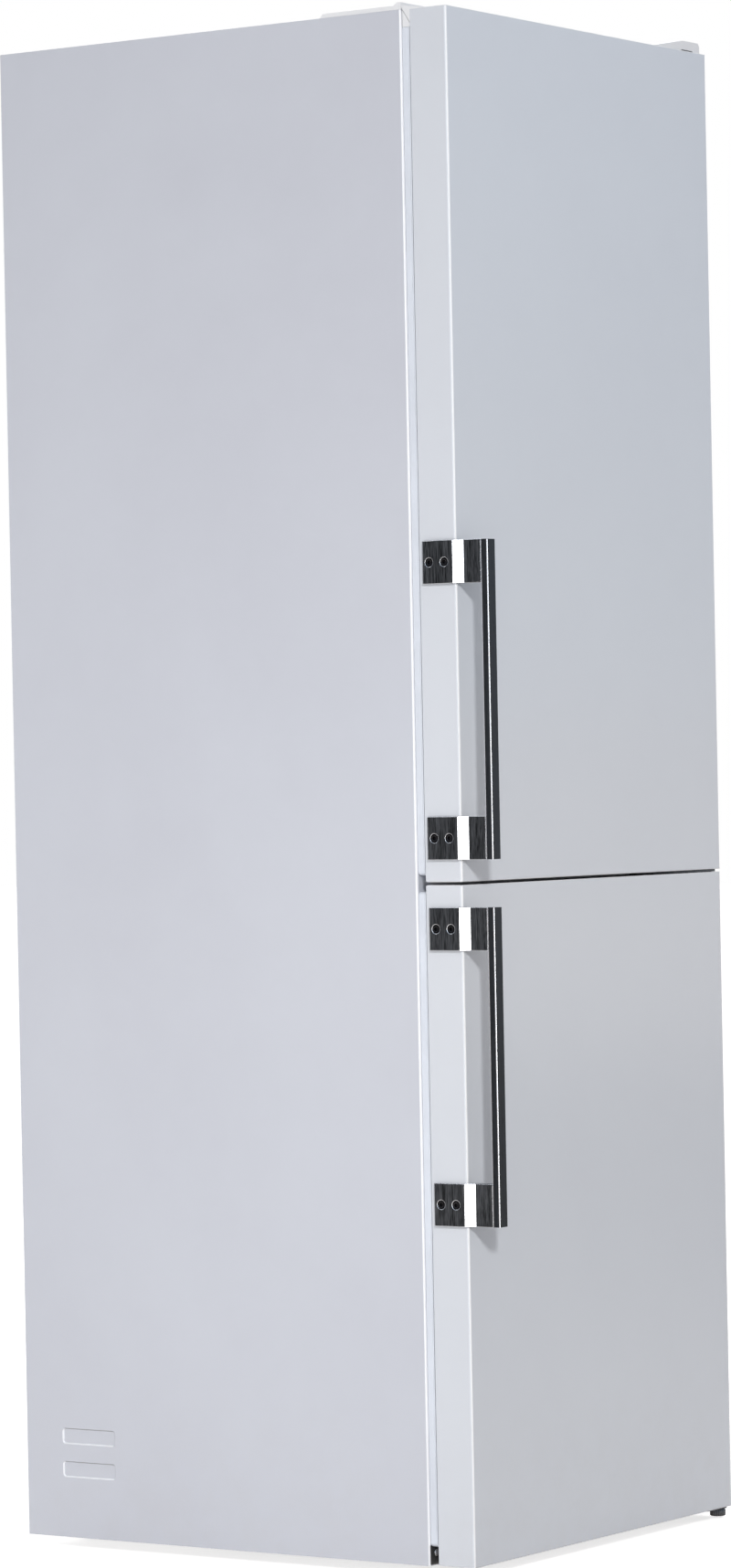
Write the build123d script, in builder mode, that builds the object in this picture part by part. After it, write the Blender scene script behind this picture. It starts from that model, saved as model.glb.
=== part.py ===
"""A free-standing fridge freezer, two doors hinged on the right, every piece its own solid.

Millimetres, +Z up. The front faces -Y and the doors' handles are on the -X side.
The origin is on the floor in the middle of the footprint, handles included.
"""

from build123d import *
import os

os.makedirs("parts", exist_ok=True)

# Outside of the appliance
WIDTH = 595.0
LOWER_DOOR_HEIGHT = 796.0
UPPER_DOOR_HEIGHT = 1019.0
DOOR_GAP = 5.0
DOOR_LIFT = 15.0
DOOR_DEPTH = 50.0
SEAL_GAP = 12.5
CABINET_DEPTH = 592.5
HANDLE_REACH = 42.0
PANEL_DROP = 2.0
TOP_STEP = 1.0
CORNER = 3.0

# Sheet, plastic and insulation
SHEET = 1.0
LINER = 2.5
FRIDGE_SIDE_FOAM = 40.0
FREEZER_SIDE_FOAM = 52.0
REAR_FOAM = 50.0
TOP_FOAM = 45.0
FLOOR_FOAM = 45.0
DIVIDER = 72.0
LINER_RADIUS = 20.0

# Steel frame round the two openings
SIDE_FLANGE = 30.0
REAR_FLANGE = 16.0
TOP_FLANGE = 42.0
RAIL_HEIGHT = 60.0
SILL_RISE = 47.0
SILL_DROP = 5.0
PAN_HEIGHT = 36.0
PAN_SHEET = 1.5

# Rear of the cabinet and machine bay
CONDENSER_BAY = 30.0
BAY_DEPTH = 230.0
BAY_HEIGHT = 239.0
PRESSING_LENGTH = 80.0
PRESSING_HEIGHT = 19.5
PRESSING_DEPTH = 2.0
PRESSING_DRAFT = 30.0
PRESSING_PITCH = 40.8
PRESSING_RISE = 83.5
PRESSING_FROM_REAR = 94.5
PRESSING_RADIUS = 4.0

# Doors, seals and caps
CAP = 16.0
DYKE = 28.0
UPPER_DYKE_REACH = 28.0
LOWER_DYKE_REACH = 14.0
PLUG_CLEARANCE = 6.0
SEAL_INSET = 4.0
SEAL_WIDTH = 16.0
SEAL_ROUND = 4.5
SEAL_CLEARANCE = 0.3
SEAL_TOP = 19.0
SEAL_AT_GAP = 9.5
SEAL_FOOT = 23.0
WING_RISE = 6.0
WING_DROP = 15.0
WING_CLEARANCE = 0.8
WING_START = 20.0
WING_SIDE_CLEARANCE = 4.0
DYKE_RADIUS = 12.0
SEAL_CORNER = 8.0

# Hinges
HINGE_INSET = 12.0
HINGE_SETBACK = 25.0
PIN_RADIUS = 4.0
PIN_CLEARANCE = 0.06
PIN_REACH = 12.0
PIN_END_CLEARANCE = 1.0
HINGE_SHEET = 3.0
HINGE_EDGE = 7.0
HINGE_SIDE = 10.5
HINGE_NOSE = 18.0
ADJUSTER_RADIUS = 9.0
ADJUSTER_HEIGHT = 8.5
TOP_HINGE_WIDTH = 64.0
TOP_HINGE_TAIL = 50.0
FRONT_HINGE_WIDTH = 115.5
SCREW_RADIUS = 2.0
SCREW_HEAD_RADIUS = 4.2
SCREW_HEAD = 2.4
SCREW_LENGTH = 14.0
SCREW_PITCH = 26.0
SCREW_CLEARANCE = 0.05
SEAL_LEG_CLEARANCE = 2.0

# Top cover
COVER_DEPTH = 115.0
COVER_HEIGHT = 5.0
COVER_LIP = 10.0
COVER_LIP_RISE = 3.5
COVER_WALL = 2.0
HINGE_CAP_HEIGHT = 15.0
HINGE_CAP_WIDTH = 118.0
HINGE_CAP_RAMP = 77.0
HINGE_CAP_SLOT_WIDTH = 27.0
HINGE_CAP_SLOT_SIDE = 17.0
HINGE_CAP_SLOT_HEIGHT = 2.4
HINGE_CAP_INSET = 1.0
HINGE_CAP_SETBACK = 8.0
HINGE_CAP_TAIL = 64.0
HINGE_CAP_LIFT = 0.5

# Handles
HANDLE_LENGTH = 372.0
HANDLE_MARGIN = 25.5
BAR_WIDTH = 17.0
BAR_DEPTH = 9.6
BAR_CHAMFER = 1.5
BRACKET_HEIGHT = 50.0
BRACKET_PLATE = 4.0
BRACKET_TAIL = 45.0
BRACKET_SLANT_FORWARD = 11.0
BRACKET_SLANT_ACROSS = 7.0
BRACKET_ARM = 12.0
BRACKET_CHAMFER = 1.4
BRACKET_CLEARANCE = 0.5
BRACKET_SCREW_FIRST = 14.0
BRACKET_SCREW_PITCH = 20.8
HANDLE_SCREW_RADIUS = 2.5
HANDLE_SCREW_HEAD_RADIUS = 5.6
HANDLE_SCREW_LENGTH = 16.0
COUNTERSINK = 3.0

# Shelves and bins of the fridge
GLASS = 4.0
SHELF_SETBACK = 126.0
SHELF_SIDE_CLEARANCE = 2.0
SHELF_REAR_CLEARANCE = 3.0
TOP_SHELF_RISE = 660.0
MIDDLE_SHELF_RISE = 430.0
LEDGE_WIDTH = 9.0
LEDGE_HEIGHT = 6.0
TRIM_DEPTH = 16.0
TRIM_WALL = 2.5
TRIM_LIP = 3.0
BIN_REACH = 100.0
BIN_WALL = 2.5
BIN_CLEARANCE = 0.3
BIN_LUG = 8.0
BIN_LUG_HEIGHT = 6.0
BIN_RADIUS = 18.0
TOP_BIN_RISE = 700.0
MIDDLE_BIN_RISE = 430.0
BOTTLE_BIN_RISE = 75.0
SMALL_BIN_HEIGHT = 85.0
BOTTLE_BIN_HEIGHT = 120.0

# Drawers
RUN_CLEARANCE = 0.8
SLIDE_CLEARANCE = 0.3
DRAWER_WALL = 2.5
DRAWER_FRONT = 12.0
CRISPER_SIDE_CLEARANCE = 28.0
CRISPER_HEIGHT = 180.0
CRISPER_SETBACK = 118.0
CRISPER_REAR_CLEARANCE = 30.0
CRISPER_HEADROOM = 8.0
DRAWER_SIDE_CLEARANCE = 30.0
DRAWER_SETBACK = 37.5
DRAWER_HEADROOM = 10.0
DRAWER_REAR_CLEARANCE = 5.0
RUNNER_HEIGHT = 14.0
RUNNER_RISE = 30.0
GRIP_HEIGHT = 26.0
GRIP_DEPTH = 8.0
GRIP_FROM_TOP = 16.0
GRIP_HALF = 60.0

# Rear duct, control housing and knob of the fridge
DUCT_HALF = 75.0
DUCT_DEPTH = 14.0
DUCT_WALL = 2.0
DUCT_MARGIN = 40.0
DUCT_SLOT_LENGTH = 60.0
DUCT_SLOT_HEIGHT = 8.0
DUCT_SLOTS = 7
HOUSING_HALF = 105.0
HOUSING_HEIGHT = 34.0
HOUSING_DEPTH = 150.0
HOUSING_SETBACK = 60.0
HOUSING_WALL = 2.5
LENS_HALF = 38.0
LENS_FROM_REAR = 16.0
LENS_LENGTH = 80.0
LENS_DEPTH = 6.0
KNOB_RADIUS = 14.0
KNOB_DEPTH = 14.0
KNOB_SPINDLE_RADIUS = 3.0
KNOB_SPINDLE_LENGTH = 9.0
KNOB_CLEARANCE = 0.08
KNOB_OFFSET = 70.0
KNOB_GRIP_WIDTH = 5.0
KNOB_GRIP_DEPTH = 6.0

# Cooling parts behind the freezer drawers
COVER_FROM_REAR = 80.0
COVER_SHEET = 3.0
EVAPORATOR_SIDE_CLEARANCE = 57.0
EVAPORATOR_HEIGHT = 190.0
EVAPORATOR_DEPTH = 44.0
EVAPORATOR_RISE = 30.0
EVAPORATOR_TUBE_RADIUS = 4.0
EVAPORATOR_PASSES = 6
EVAPORATOR_FINS = 22
FIN_SHEET = 0.8
FAN_RADIUS = 52.0
FAN_CLEARANCE = 4.0
FAN_DROP = 70.0
FAN_HUB_RADIUS = 15.0
FAN_HUB_LENGTH = 18.0
FAN_BLADES = 5
FAN_BLADE_CHORD = 26.0
FAN_BLADE_SHEET = 1.6
FAN_BLADE_PITCH = 28.0
FAN_SHAFT_RADIUS = 2.5
FAN_SHAFT_CLEARANCE = 0.06
MOTOR_RADIUS = 20.0
MOTOR_BRACKET_HEIGHT = 12.0

# Machine bay
PLATE_LIP = 26.0
BEND_SHARE = 0.45
STUB_SPREAD = 20.0
STUB_REACH = 6.0
PIPE_BEND = 8.0
PIPE_DROP = 20.0
PIPE_HEADROOM = 24.0
COMPRESSOR_RADIUS = 70.0
COMPRESSOR_BODY = 92.0
COMPRESSOR_DOME = 36.0
COMPRESSOR_SEAM = 5.0
COMPRESSOR_OFFSET = 110.0
COMPRESSOR_FOOT_SPREAD = 62.0
COMPRESSOR_FOOT_SHEET = 3.0
MOUNT_RADIUS = 10.0
MOUNT_HEIGHT = 15.0
BOX_WIDTH = 26.0
BOX_DEPTH = 60.0
BOX_HEIGHT = 56.0
BOX_RISE = 24.0
BOX_CLEARANCE = 0.15
TRAY_HALF_X = 82.0
TRAY_HALF_Y = 66.0
TRAY_HEIGHT = 22.0
TRAY_WALL = 2.0
DRIER_RADIUS = 9.0
DRIER_LENGTH = 110.0
DRIER_NECK_RADIUS = 3.5
DRIER_NECK = 12.0
PIPE_RADIUS = 3.0
GLAND_RADIUS = 7.0
GLAND_LENGTH = 14.0
GLAND_FLANGE_RADIUS = 10.0
GLAND_BORE_RADIUS = 3.6
GLAND_EDGE = 77.5
GLAND_CLEARANCE = 0.1
CONDENSER_PASSES = 24
CONDENSER_PITCH = 54.0
CONDENSER_TUBE_RADIUS = 2.5
CONDENSER_SIDE_GAP = 30.0
CONDENSER_STANDOFF = 15.0
CONDENSER_RISE = 40.0
CONDENSER_RETURN = 14.0
CONDENSER_TAIL = 30.0
WIRE_RADIUS = 0.9
WIRE_COUNT = 38
WIRE_GAP = 0.1
STRAP_HEIGHT = 14.0
STRAP_SHEET = 1.5
STRAP_ARM = 10.0

# Feet and rollers
FOOT_PAD_RADIUS = 17.0
FOOT_PAD_HEIGHT = 9.0
FOOT_STUD_RADIUS = 5.0
FOOT_STUD_CLEARANCE = 0.08
FOOT_TRAVEL = 12.0
FOOT_SIDE = 98.0
FOOT_SETBACK = 34.0
FOOT_BOSS_RADIUS = 11.0
FOOT_BOSS_HEIGHT = 14.0
FOOT_POCKET_RADIUS = 8.0
ROLLER_RADIUS = 15.0
ROLLER_WIDTH = 20.0
ROLLER_AXLE_RADIUS = 4.0
ROLLER_CLEARANCE = 0.08
ROLLER_SIDE_CLEARANCE = 1.0
ROLLER_SIDE = 86.0
ROLLER_FROM_REAR = 36.0
CHEEK_SHEET = 3.0
CHEEK_EDGE = 9.0

# Planes and spans worked out from the sizes
half = WIDTH / 2
inside = half - SHEET
y_handle = -(HANDLE_REACH + DOOR_DEPTH + SEAL_GAP + CABINET_DEPTH) / 2
y_door = y_handle + HANDLE_REACH
y_seal = y_door + DOOR_DEPTH
y_cab = y_seal + SEAL_GAP
y_rear = y_cab + CABINET_DEPTH
y_back = y_rear - CONDENSER_BAY
y_bay = y_rear - BAY_DEPTH

z_lower = (DOOR_LIFT, DOOR_LIFT + LOWER_DOOR_HEIGHT)
z_upper = (z_lower[1] + DOOR_GAP, z_lower[1] + DOOR_GAP + UPPER_DOOR_HEIGHT)
z_gap = (z_lower[1] + z_upper[0]) / 2
z_cab = (DOOR_LIFT - PANEL_DROP, z_upper[1] + TOP_STEP)
z_pan = (PAN_HEIGHT, PAN_HEIGHT + PAN_SHEET)
z_bay = PAN_HEIGHT + BAY_HEIGHT
z_rail = (z_gap - RAIL_HEIGHT / 2, z_gap + RAIL_HEIGHT / 2)
z_sill = (z_lower[0] + SILL_DROP, z_lower[0] + SILL_RISE)

opening_half = half - SIDE_FLANGE
fridge_half = inside - FRIDGE_SIDE_FOAM - LINER
crisper_half = fridge_half - CRISPER_SIDE_CLEARANCE
fridge_z = (z_gap + DIVIDER / 2, z_cab[1] - SHEET - TOP_FOAM - LINER)
fridge_y = y_back - SHEET - REAR_FOAM - LINER
fridge_rim = (z_rail[1], z_cab[1] - TOP_FLANGE)
freezer_half = inside - FREEZER_SIDE_FOAM - LINER
drawer_half = freezer_half - DRAWER_SIDE_CLEARANCE
evaporator_half = freezer_half - EVAPORATOR_SIDE_CLEARANCE
freezer_z = (z_pan[1] + FLOOR_FOAM + LINER, z_gap - DIVIDER / 2)
freezer_y = y_back - SHEET - REAR_FOAM - LINER
freezer_rim = (z_sill[1], z_rail[0])
step_y = y_bay - SHEET - FLOOR_FOAM - LINER
step_z = z_bay + SHEET + FLOOR_FOAM + LINER

hinge_x = half - HINGE_INSET
hinge_y = y_door + HINGE_SETBACK


def slab(x_span, y_span, z_span, mode=Mode.ADD):
    """Add or cut a box that fills three spans, each given as (low, high)."""
    spans = (x_span, y_span, z_span)
    with Locations(tuple(sum(span) / 2 for span in spans)):
        Box(*[span[1] - span[0] for span in spans], mode=mode)


LOW = (Align.CENTER, Align.CENTER, Align.MIN)


def both_ways(reach):
    """The span from -reach to +reach."""
    return (-reach, reach)


def bored(centre, radius, length, axis="Z", mode=Mode.ADD):
    """Add or cut a cylinder that starts at a point and runs along +X, +Y or +Z."""
    turn = {"X": (0, 90, 0), "Y": (-90, 0, 0), "Z": (0, 0, 0)}[axis]
    with Locations(Location(centre, turn)):
        Cylinder(radius, length, align=LOW, mode=mode)


def tunnel(reach, y_span, z_span, radius, mode=Mode.ADD):
    """Add or cut a block along Y whose section is a rounded rectangle about X = 0."""
    with BuildSketch(Plane.XZ.offset(-y_span[0])) as section:
        with Locations((0, sum(z_span) / 2)):
            RectangleRounded(2 * reach, z_span[1] - z_span[0], radius)
    extrude(section.sketch, amount=y_span[0] - y_span[1], mode=mode)


def ring(reach, y_span, z_span, outer, inner, radius, mode=Mode.ADD):
    """Add or cut a rounded frame along Y, between two insets from a rectangle's edge."""
    with BuildSketch(Plane.XZ.offset(-y_span[0])) as section:
        with Locations((0, sum(z_span) / 2)):
            height = z_span[1] - z_span[0]
            RectangleRounded(2 * (reach - outer), height - 2 * outer, radius)
            hole = max(radius - inner + outer, 1.0)
            RectangleRounded(2 * (reach - inner), height - 2 * inner, hole, mode=Mode.SUBTRACT)
    extrude(section.sketch, amount=y_span[0] - y_span[1], mode=mode)


def save(builder, name):
    """Label a finished piece and write it to its own file."""
    builder.part.label = name
    export_step(builder.part, f"parts/{name}.step")


# Screw places: the top hinge's from above, the others' from the front
top_screws = [
    (hinge_x - step * SCREW_PITCH, y_cab + TOP_HINGE_TAIL - HINGE_EDGE - back * SCREW_PITCH)
    for step, back in ((0, 0), (1, 0), (2, 0), (1, 1))
]
leg_screws = [hinge_x - step * SCREW_PITCH for step in range(1, 4)]
hinge_gap = (DOOR_GAP - HINGE_SHEET) / 2
leg_reach = DOOR_GAP / 2 + SEAL_AT_GAP - SEAL_LEG_CLEARANCE
middle_leg = (z_gap - leg_reach, z_gap + leg_reach)
bottom_plate = (z_lower[0] - hinge_gap - HINGE_SHEET, z_lower[0] - hinge_gap)
bottom_leg = (bottom_plate[0], z_lower[0] + SEAL_FOOT - SEAL_LEG_CLEARANCE)
sill_screw_z = (z_sill[0] + bottom_leg[1]) / 2
SCREW_HOLE = SCREW_RADIUS + SCREW_CLEARANCE

foot_places = {"left": -half + FOOT_SIDE, "right": half - FOOT_SIDE}
foot_y = y_cab + FOOT_SETBACK
roller_places = {"left": -half + ROLLER_SIDE, "right": half - ROLLER_SIDE}
roller_y = y_rear - ROLLER_FROM_REAR


# Cabinet side panels, bent from sheet, each with two recesses pressed in low at the rear
for name, side in (("left_side_panel", -1), ("right_side_panel", 1)):
    with BuildPart() as panel:
        with BuildSketch(Plane.XY.offset(z_cab[0])) as outline:
            with BuildLine():
                Polyline(
                    (side * opening_half, y_cab),
                    (side * half, y_cab),
                    (side * half, y_rear),
                    (side * (half - REAR_FLANGE), y_rear),
                    (side * (half - REAR_FLANGE), y_rear - SHEET),
                    (side * inside, y_rear - SHEET),
                    (side * inside, y_cab + SHEET),
                    (side * opening_half, y_cab + SHEET),
                    close=True,
                )
            make_face()
            outer_bend = outline.vertices().sort_by_distance((side * half, y_cab, 0))[0]
            fillet(outer_bend, CORNER)
            inner_bend = outline.vertices().sort_by_distance((side * inside, y_cab + SHEET, 0))[0]
            fillet(inner_bend, CORNER - SHEET)
        extrude(amount=z_cab[1] - z_cab[0])
        for step in range(2):
            rise = z_cab[0] + PRESSING_RISE + step * PRESSING_PITCH
            middle = (y_rear - PRESSING_FROM_REAR, rise)
            with BuildSketch(Plane.YZ.offset(side * inside)) as boss:
                with Locations(middle):
                    length = PRESSING_LENGTH + 2 * SHEET
                    RectangleRounded(length, PRESSING_HEIGHT + 2 * SHEET, PRESSING_RADIUS + SHEET)
            extrude(boss.sketch, amount=-side * PRESSING_DEPTH)
            with BuildSketch(Plane.YZ.offset(side * half)) as recess:
                with Locations(middle):
                    RectangleRounded(PRESSING_LENGTH, PRESSING_HEIGHT, PRESSING_RADIUS)
            depth = -side * PRESSING_DEPTH
            extrude(recess.sketch, amount=depth, taper=PRESSING_DRAFT, mode=Mode.SUBTRACT)
        bored((side * hinge_x, y_cab, sill_screw_z), SCREW_HOLE, SHEET, "Y", Mode.SUBTRACT)
    save(panel, name)

# Top panel with its folded front flange
with BuildPart() as top_panel:
    slab(both_ways(inside), (y_cab + SHEET, y_rear - SHEET), (z_cab[1] - SHEET, z_cab[1]))
    fillet(top_panel.edges().filter_by(Axis.Z).group_by(Axis.Y)[0], CORNER)
    slab(both_ways(opening_half), (y_cab, y_cab + SHEET), (fridge_rim[1], z_cab[1]))
    for x, y in top_screws:
        bored((x, y, z_cab[1] - SHEET), SCREW_HOLE, SHEET, mode=Mode.SUBTRACT)
save(top_panel, "top_panel")

# Back panel, folded forward over the machine bay and down in front of it
with BuildPart() as back_panel:
    slab(both_ways(inside), (y_back - SHEET, y_back), (z_bay, z_cab[1] - SHEET))
    slab(both_ways(inside), (y_bay - SHEET, y_back), (z_bay, z_bay + SHEET))
    slab(both_ways(inside), (y_bay - SHEET, y_bay), (z_pan[1], z_bay + SHEET))
save(back_panel, "back_panel")

# Base frame: pan under the freezer, front sill and the threaded bosses for the feet
with BuildPart() as base_frame:
    slab(both_ways(inside), (y_cab + PAN_SHEET, y_bay), z_pan)
    fillet(base_frame.edges().filter_by(Axis.Z).group_by(Axis.Y)[0], CORNER)
    slab(both_ways(opening_half), (y_cab, y_cab + PAN_SHEET), z_sill)
    for x in foot_places.values():
        bored((x, foot_y, PAN_HEIGHT - FOOT_BOSS_HEIGHT), FOOT_BOSS_RADIUS, FOOT_BOSS_HEIGHT)
        bored(
            (x, foot_y, PAN_HEIGHT - FOOT_BOSS_HEIGHT),
            FOOT_STUD_RADIUS + FOOT_STUD_CLEARANCE,
            FOOT_BOSS_HEIGHT + PAN_SHEET,
            mode=Mode.SUBTRACT,
        )
    for x in leg_screws:
        bored((x, y_cab, sill_screw_z), SCREW_HOLE, PAN_SHEET, "Y", Mode.SUBTRACT)
save(base_frame, "base_frame")

# Centre rail that the seals of both doors meet
with BuildPart() as centre_rail:
    slab(both_ways(opening_half), (y_cab, y_cab + SHEET), z_rail)
    for x in leg_screws:
        bored((x, y_cab, z_gap), SCREW_HOLE, SHEET, "Y", Mode.SUBTRACT)
save(centre_rail, "centre_rail")


def fridge_box(skin, mode=Mode.ADD):
    """The fridge compartment, grown outwards by a skin, open to the front."""
    z_span = (fridge_z[0] - skin, fridge_z[1] + skin)
    tunnel(fridge_half + skin, (y_cab, fridge_y + skin), z_span, LINER_RADIUS + skin, mode)


def freezer_box(skin, mode=Mode.ADD):
    """The freezer compartment over the machine bay, grown outwards by a skin."""
    full = (freezer_z[0] - skin, freezer_z[1] + skin)
    upper = (step_z - skin, freezer_z[1] + skin)
    tunnel(freezer_half + skin, (y_cab, step_y + skin), full, LINER_RADIUS + skin, mode)
    deep = (step_y + skin, freezer_y + skin)
    tunnel(freezer_half + skin, deep, upper, LINER_RADIUS + skin, mode)
    slab(both_ways(freezer_half + skin), deep, (upper[0], step_z + 2 * LINER_RADIUS), mode)


def rim(z_span, mode=Mode.ADD):
    """The flat front edge of a liner, between the steel flanges."""
    slab(both_ways(opening_half), (y_cab, y_cab + LINER), z_span, mode)


# Levels of the shelves and drawers
crisper_z = (fridge_z[0] + SLIDE_CLEARANCE, fridge_z[0] + SLIDE_CLEARANCE + CRISPER_HEIGHT)
shelf_levels = {
    "crisper_lid": crisper_z[1] + CRISPER_HEADROOM,
    "middle_shelf": fridge_z[0] + MIDDLE_SHELF_RISE,
    "top_shelf": fridge_z[0] + TOP_SHELF_RISE,
}
shelf_y = (y_cab + SHELF_SETBACK, fridge_y - DUCT_DEPTH - SHELF_REAR_CLEARANCE)
cover_y = freezer_y - COVER_FROM_REAR
upper_room = (freezer_z[1] - step_z - 2 * GLASS) / 2
divider_levels = (step_z, step_z + GLASS + upper_room)
drawer_floors = {
    "bottom_freezer_drawer": freezer_z[0],
    "middle_freezer_drawer": divider_levels[0] + GLASS,
    "top_freezer_drawer": divider_levels[1] + GLASS,
}
drawer_ceilings = {
    "bottom_freezer_drawer": divider_levels[0],
    "middle_freezer_drawer": divider_levels[1],
    "top_freezer_drawer": freezer_z[1],
}
drawer_rears = {
    "bottom_freezer_drawer": step_y - DRAWER_REAR_CLEARANCE,
    "middle_freezer_drawer": cover_y - COVER_SHEET - DRAWER_REAR_CLEARANCE,
    "top_freezer_drawer": cover_y - COVER_SHEET - DRAWER_REAR_CLEARANCE,
}

# Fridge liner with its shelf ledges and the guides of the crisper drawer
with BuildPart() as fridge_liner:
    rim(fridge_rim)
    fridge_box(LINER)
    fridge_box(0, Mode.SUBTRACT)
    for side in (-1, 1):
        wall = side * fridge_half
        for level in shelf_levels.values():
            ledge = sorted((wall, wall - side * LEDGE_WIDTH))
            slab(ledge, shelf_y, (level - LEDGE_HEIGHT, level))
        guide = sorted((wall, side * (crisper_half + RUN_CLEARANCE)))
        rise = crisper_z[0] + RUNNER_RISE
        slab(guide, (shelf_y[0], fridge_y), (rise, rise + RUNNER_HEIGHT))
save(fridge_liner, "fridge_liner")

# Freezer liner with ledges for its dividing shelves and guides for the drawers
with BuildPart() as freezer_liner:
    rim(freezer_rim)
    freezer_box(LINER)
    freezer_box(0, Mode.SUBTRACT)
    for side in (-1, 1):
        wall = side * freezer_half
        guide = sorted((wall, side * (drawer_half + RUN_CLEARANCE)))
        ledge = sorted((wall, wall - side * LEDGE_WIDTH))
        for level in divider_levels:
            slab(ledge, (y_cab + DRAWER_SETBACK, step_y), (level - LEDGE_HEIGHT, level))
        for name, floor in drawer_floors.items():
            rise = floor + RUNNER_RISE
            guide_y = (y_cab + DRAWER_SETBACK, drawer_rears[name])
            slab(guide, guide_y, (rise, rise + RUNNER_HEIGHT))
save(freezer_liner, "freezer_liner")

# Insulation foamed in place between the sheets and the liners
with BuildPart() as cabinet_foam:
    slab(both_ways(inside), (y_cab + SHEET, y_back - SHEET), (z_pan[1], z_cab[1] - SHEET))
    front_edges = cabinet_foam.edges().filter_by(Axis.Z).group_by(Axis.Y)[0]
    fillet(front_edges, CORNER)
    slab(both_ways(inside), (y_bay - SHEET, y_rear), (z_pan[1], z_bay + SHEET), Mode.SUBTRACT)
    rim(fridge_rim, Mode.SUBTRACT)
    rim(freezer_rim, Mode.SUBTRACT)
    fridge_box(LINER, Mode.SUBTRACT)
    freezer_box(LINER, Mode.SUBTRACT)
    slab(both_ways(opening_half), (y_cab, y_cab + PAN_SHEET), z_sill, Mode.SUBTRACT)
    for x, y in top_screws:
        start = z_cab[1] - SCREW_LENGTH
        bored((x, y, start), SCREW_HOLE, SCREW_LENGTH, mode=Mode.SUBTRACT)
    for x in leg_screws:
        bored((x, y_cab, z_gap), SCREW_HOLE, SCREW_LENGTH, "Y", Mode.SUBTRACT)
    for x in foot_places.values():
        pocket = FOOT_TRAVEL + PIN_END_CLEARANCE
        bored((x, foot_y, z_pan[1]), FOOT_POCKET_RADIUS, pocket, mode=Mode.SUBTRACT)
save(cabinet_foam, "cabinet_foam")


# Top cover: a low moulding with a raised lip, and the hollow cap over the top hinge
cap_x = (half - HINGE_CAP_INSET - HINGE_CAP_WIDTH, half - HINGE_CAP_INSET)
cap_y = (y_door + HINGE_CAP_SETBACK, y_cab + HINGE_CAP_TAIL)
cap_z = (z_cab[1] + HINGE_CAP_LIFT, z_upper[1] + HINGE_CAP_HEIGHT)


def hinge_cap(skin, floor, mode=Mode.ADD):
    """The cap over the top hinge, shrunk inwards by a skin, with its ramp on the left."""
    with BuildSketch(Plane.XZ.offset(-(cap_y[0] + skin))) as section:
        with BuildLine():
            Polyline(
                (cap_x[0] + skin, floor),
                (cap_x[0] + HINGE_CAP_RAMP + skin, cap_z[1] - skin),
                (cap_x[1] - 2 * COVER_WALL - skin, cap_z[1] - skin),
                (cap_x[1] - skin, cap_z[1] - 2 * COVER_WALL - skin),
                (cap_x[1] - skin, floor),
                close=True,
            )
        make_face()
    extrude(section.sketch, amount=-(cap_y[1] - cap_y[0] - 2 * skin), mode=mode)


with BuildPart() as top_cover:
    cover_z = (z_cab[1], z_cab[1] + COVER_HEIGHT)
    with BuildSketch(Plane.YZ.offset(-half)) as section:
        with BuildLine():
            Polyline(
                (y_cab, cover_z[0]),
                (y_cab, cover_z[1] + COVER_LIP_RISE),
                (y_cab + COVER_LIP / 2, cover_z[1] + COVER_LIP_RISE),
                (y_cab + COVER_LIP, cover_z[1]),
                (y_cab + COVER_DEPTH - COVER_HEIGHT, cover_z[1]),
                (y_cab + COVER_DEPTH, cover_z[0]),
                close=True,
            )
        make_face()
    extrude(section.sketch, amount=WIDTH)
    hinge_cap(0, cap_z[0])
    hinge_cap(COVER_WALL, cover_z[0], Mode.SUBTRACT)
    slot_end = cap_x[1] - HINGE_CAP_SLOT_SIDE
    slot_z = (cap_z[0], cap_z[0] + HINGE_CAP_SLOT_HEIGHT)
    slot_y = (cap_y[0], cap_y[0] + COVER_WALL)
    slab((slot_end - HINGE_CAP_SLOT_WIDTH, slot_end), slot_y, slot_z, Mode.SUBTRACT)
save(top_cover, "top_cover")

# Top hinge: a flat arm on the cabinet top with the pin that hangs into the upper door
with BuildPart() as top_hinge:
    arm_z = (z_cab[1], z_cab[1] + HINGE_SHEET)
    arm_x = (hinge_x - TOP_HINGE_WIDTH, hinge_x + HINGE_EDGE)
    slab(arm_x, (y_cab, y_cab + TOP_HINGE_TAIL), arm_z)
    slab((hinge_x - 4 * HINGE_EDGE, arm_x[1]), (hinge_y - HINGE_EDGE, y_cab), arm_z)
    pin_length = arm_z[1] - z_upper[1] + PIN_REACH
    bored((hinge_x, hinge_y, z_upper[1] - PIN_REACH), PIN_RADIUS, pin_length)
    for x, y in top_screws:
        bored((x, y, arm_z[0]), SCREW_HOLE, HINGE_SHEET, mode=Mode.SUBTRACT)
save(top_hinge, "top_hinge")

# Middle hinge: a plate in the gap between the doors, a leg on the rail and a pin each way
front_hinge_x = (hinge_x + HINGE_SIDE - FRONT_HINGE_WIDTH, hinge_x + HINGE_SIDE)
leg_y = (y_cab - HINGE_SHEET, y_cab)


def hinge_plate(z_span):
    """A flat plate that reaches from a leg on the cabinet forward to the hinge axis."""
    with BuildSketch(Plane.XY.offset(z_span[0])) as section:
        with BuildLine():
            Polyline(
                (front_hinge_x[0], y_cab),
                (front_hinge_x[0], leg_y[0] - HINGE_EDGE),
                (hinge_x - 3 * HINGE_EDGE, hinge_y - HINGE_NOSE),
                (front_hinge_x[1], hinge_y - HINGE_NOSE),
                (front_hinge_x[1], y_cab),
                close=True,
            )
        make_face()
    extrude(section.sketch, amount=z_span[1] - z_span[0])


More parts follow.
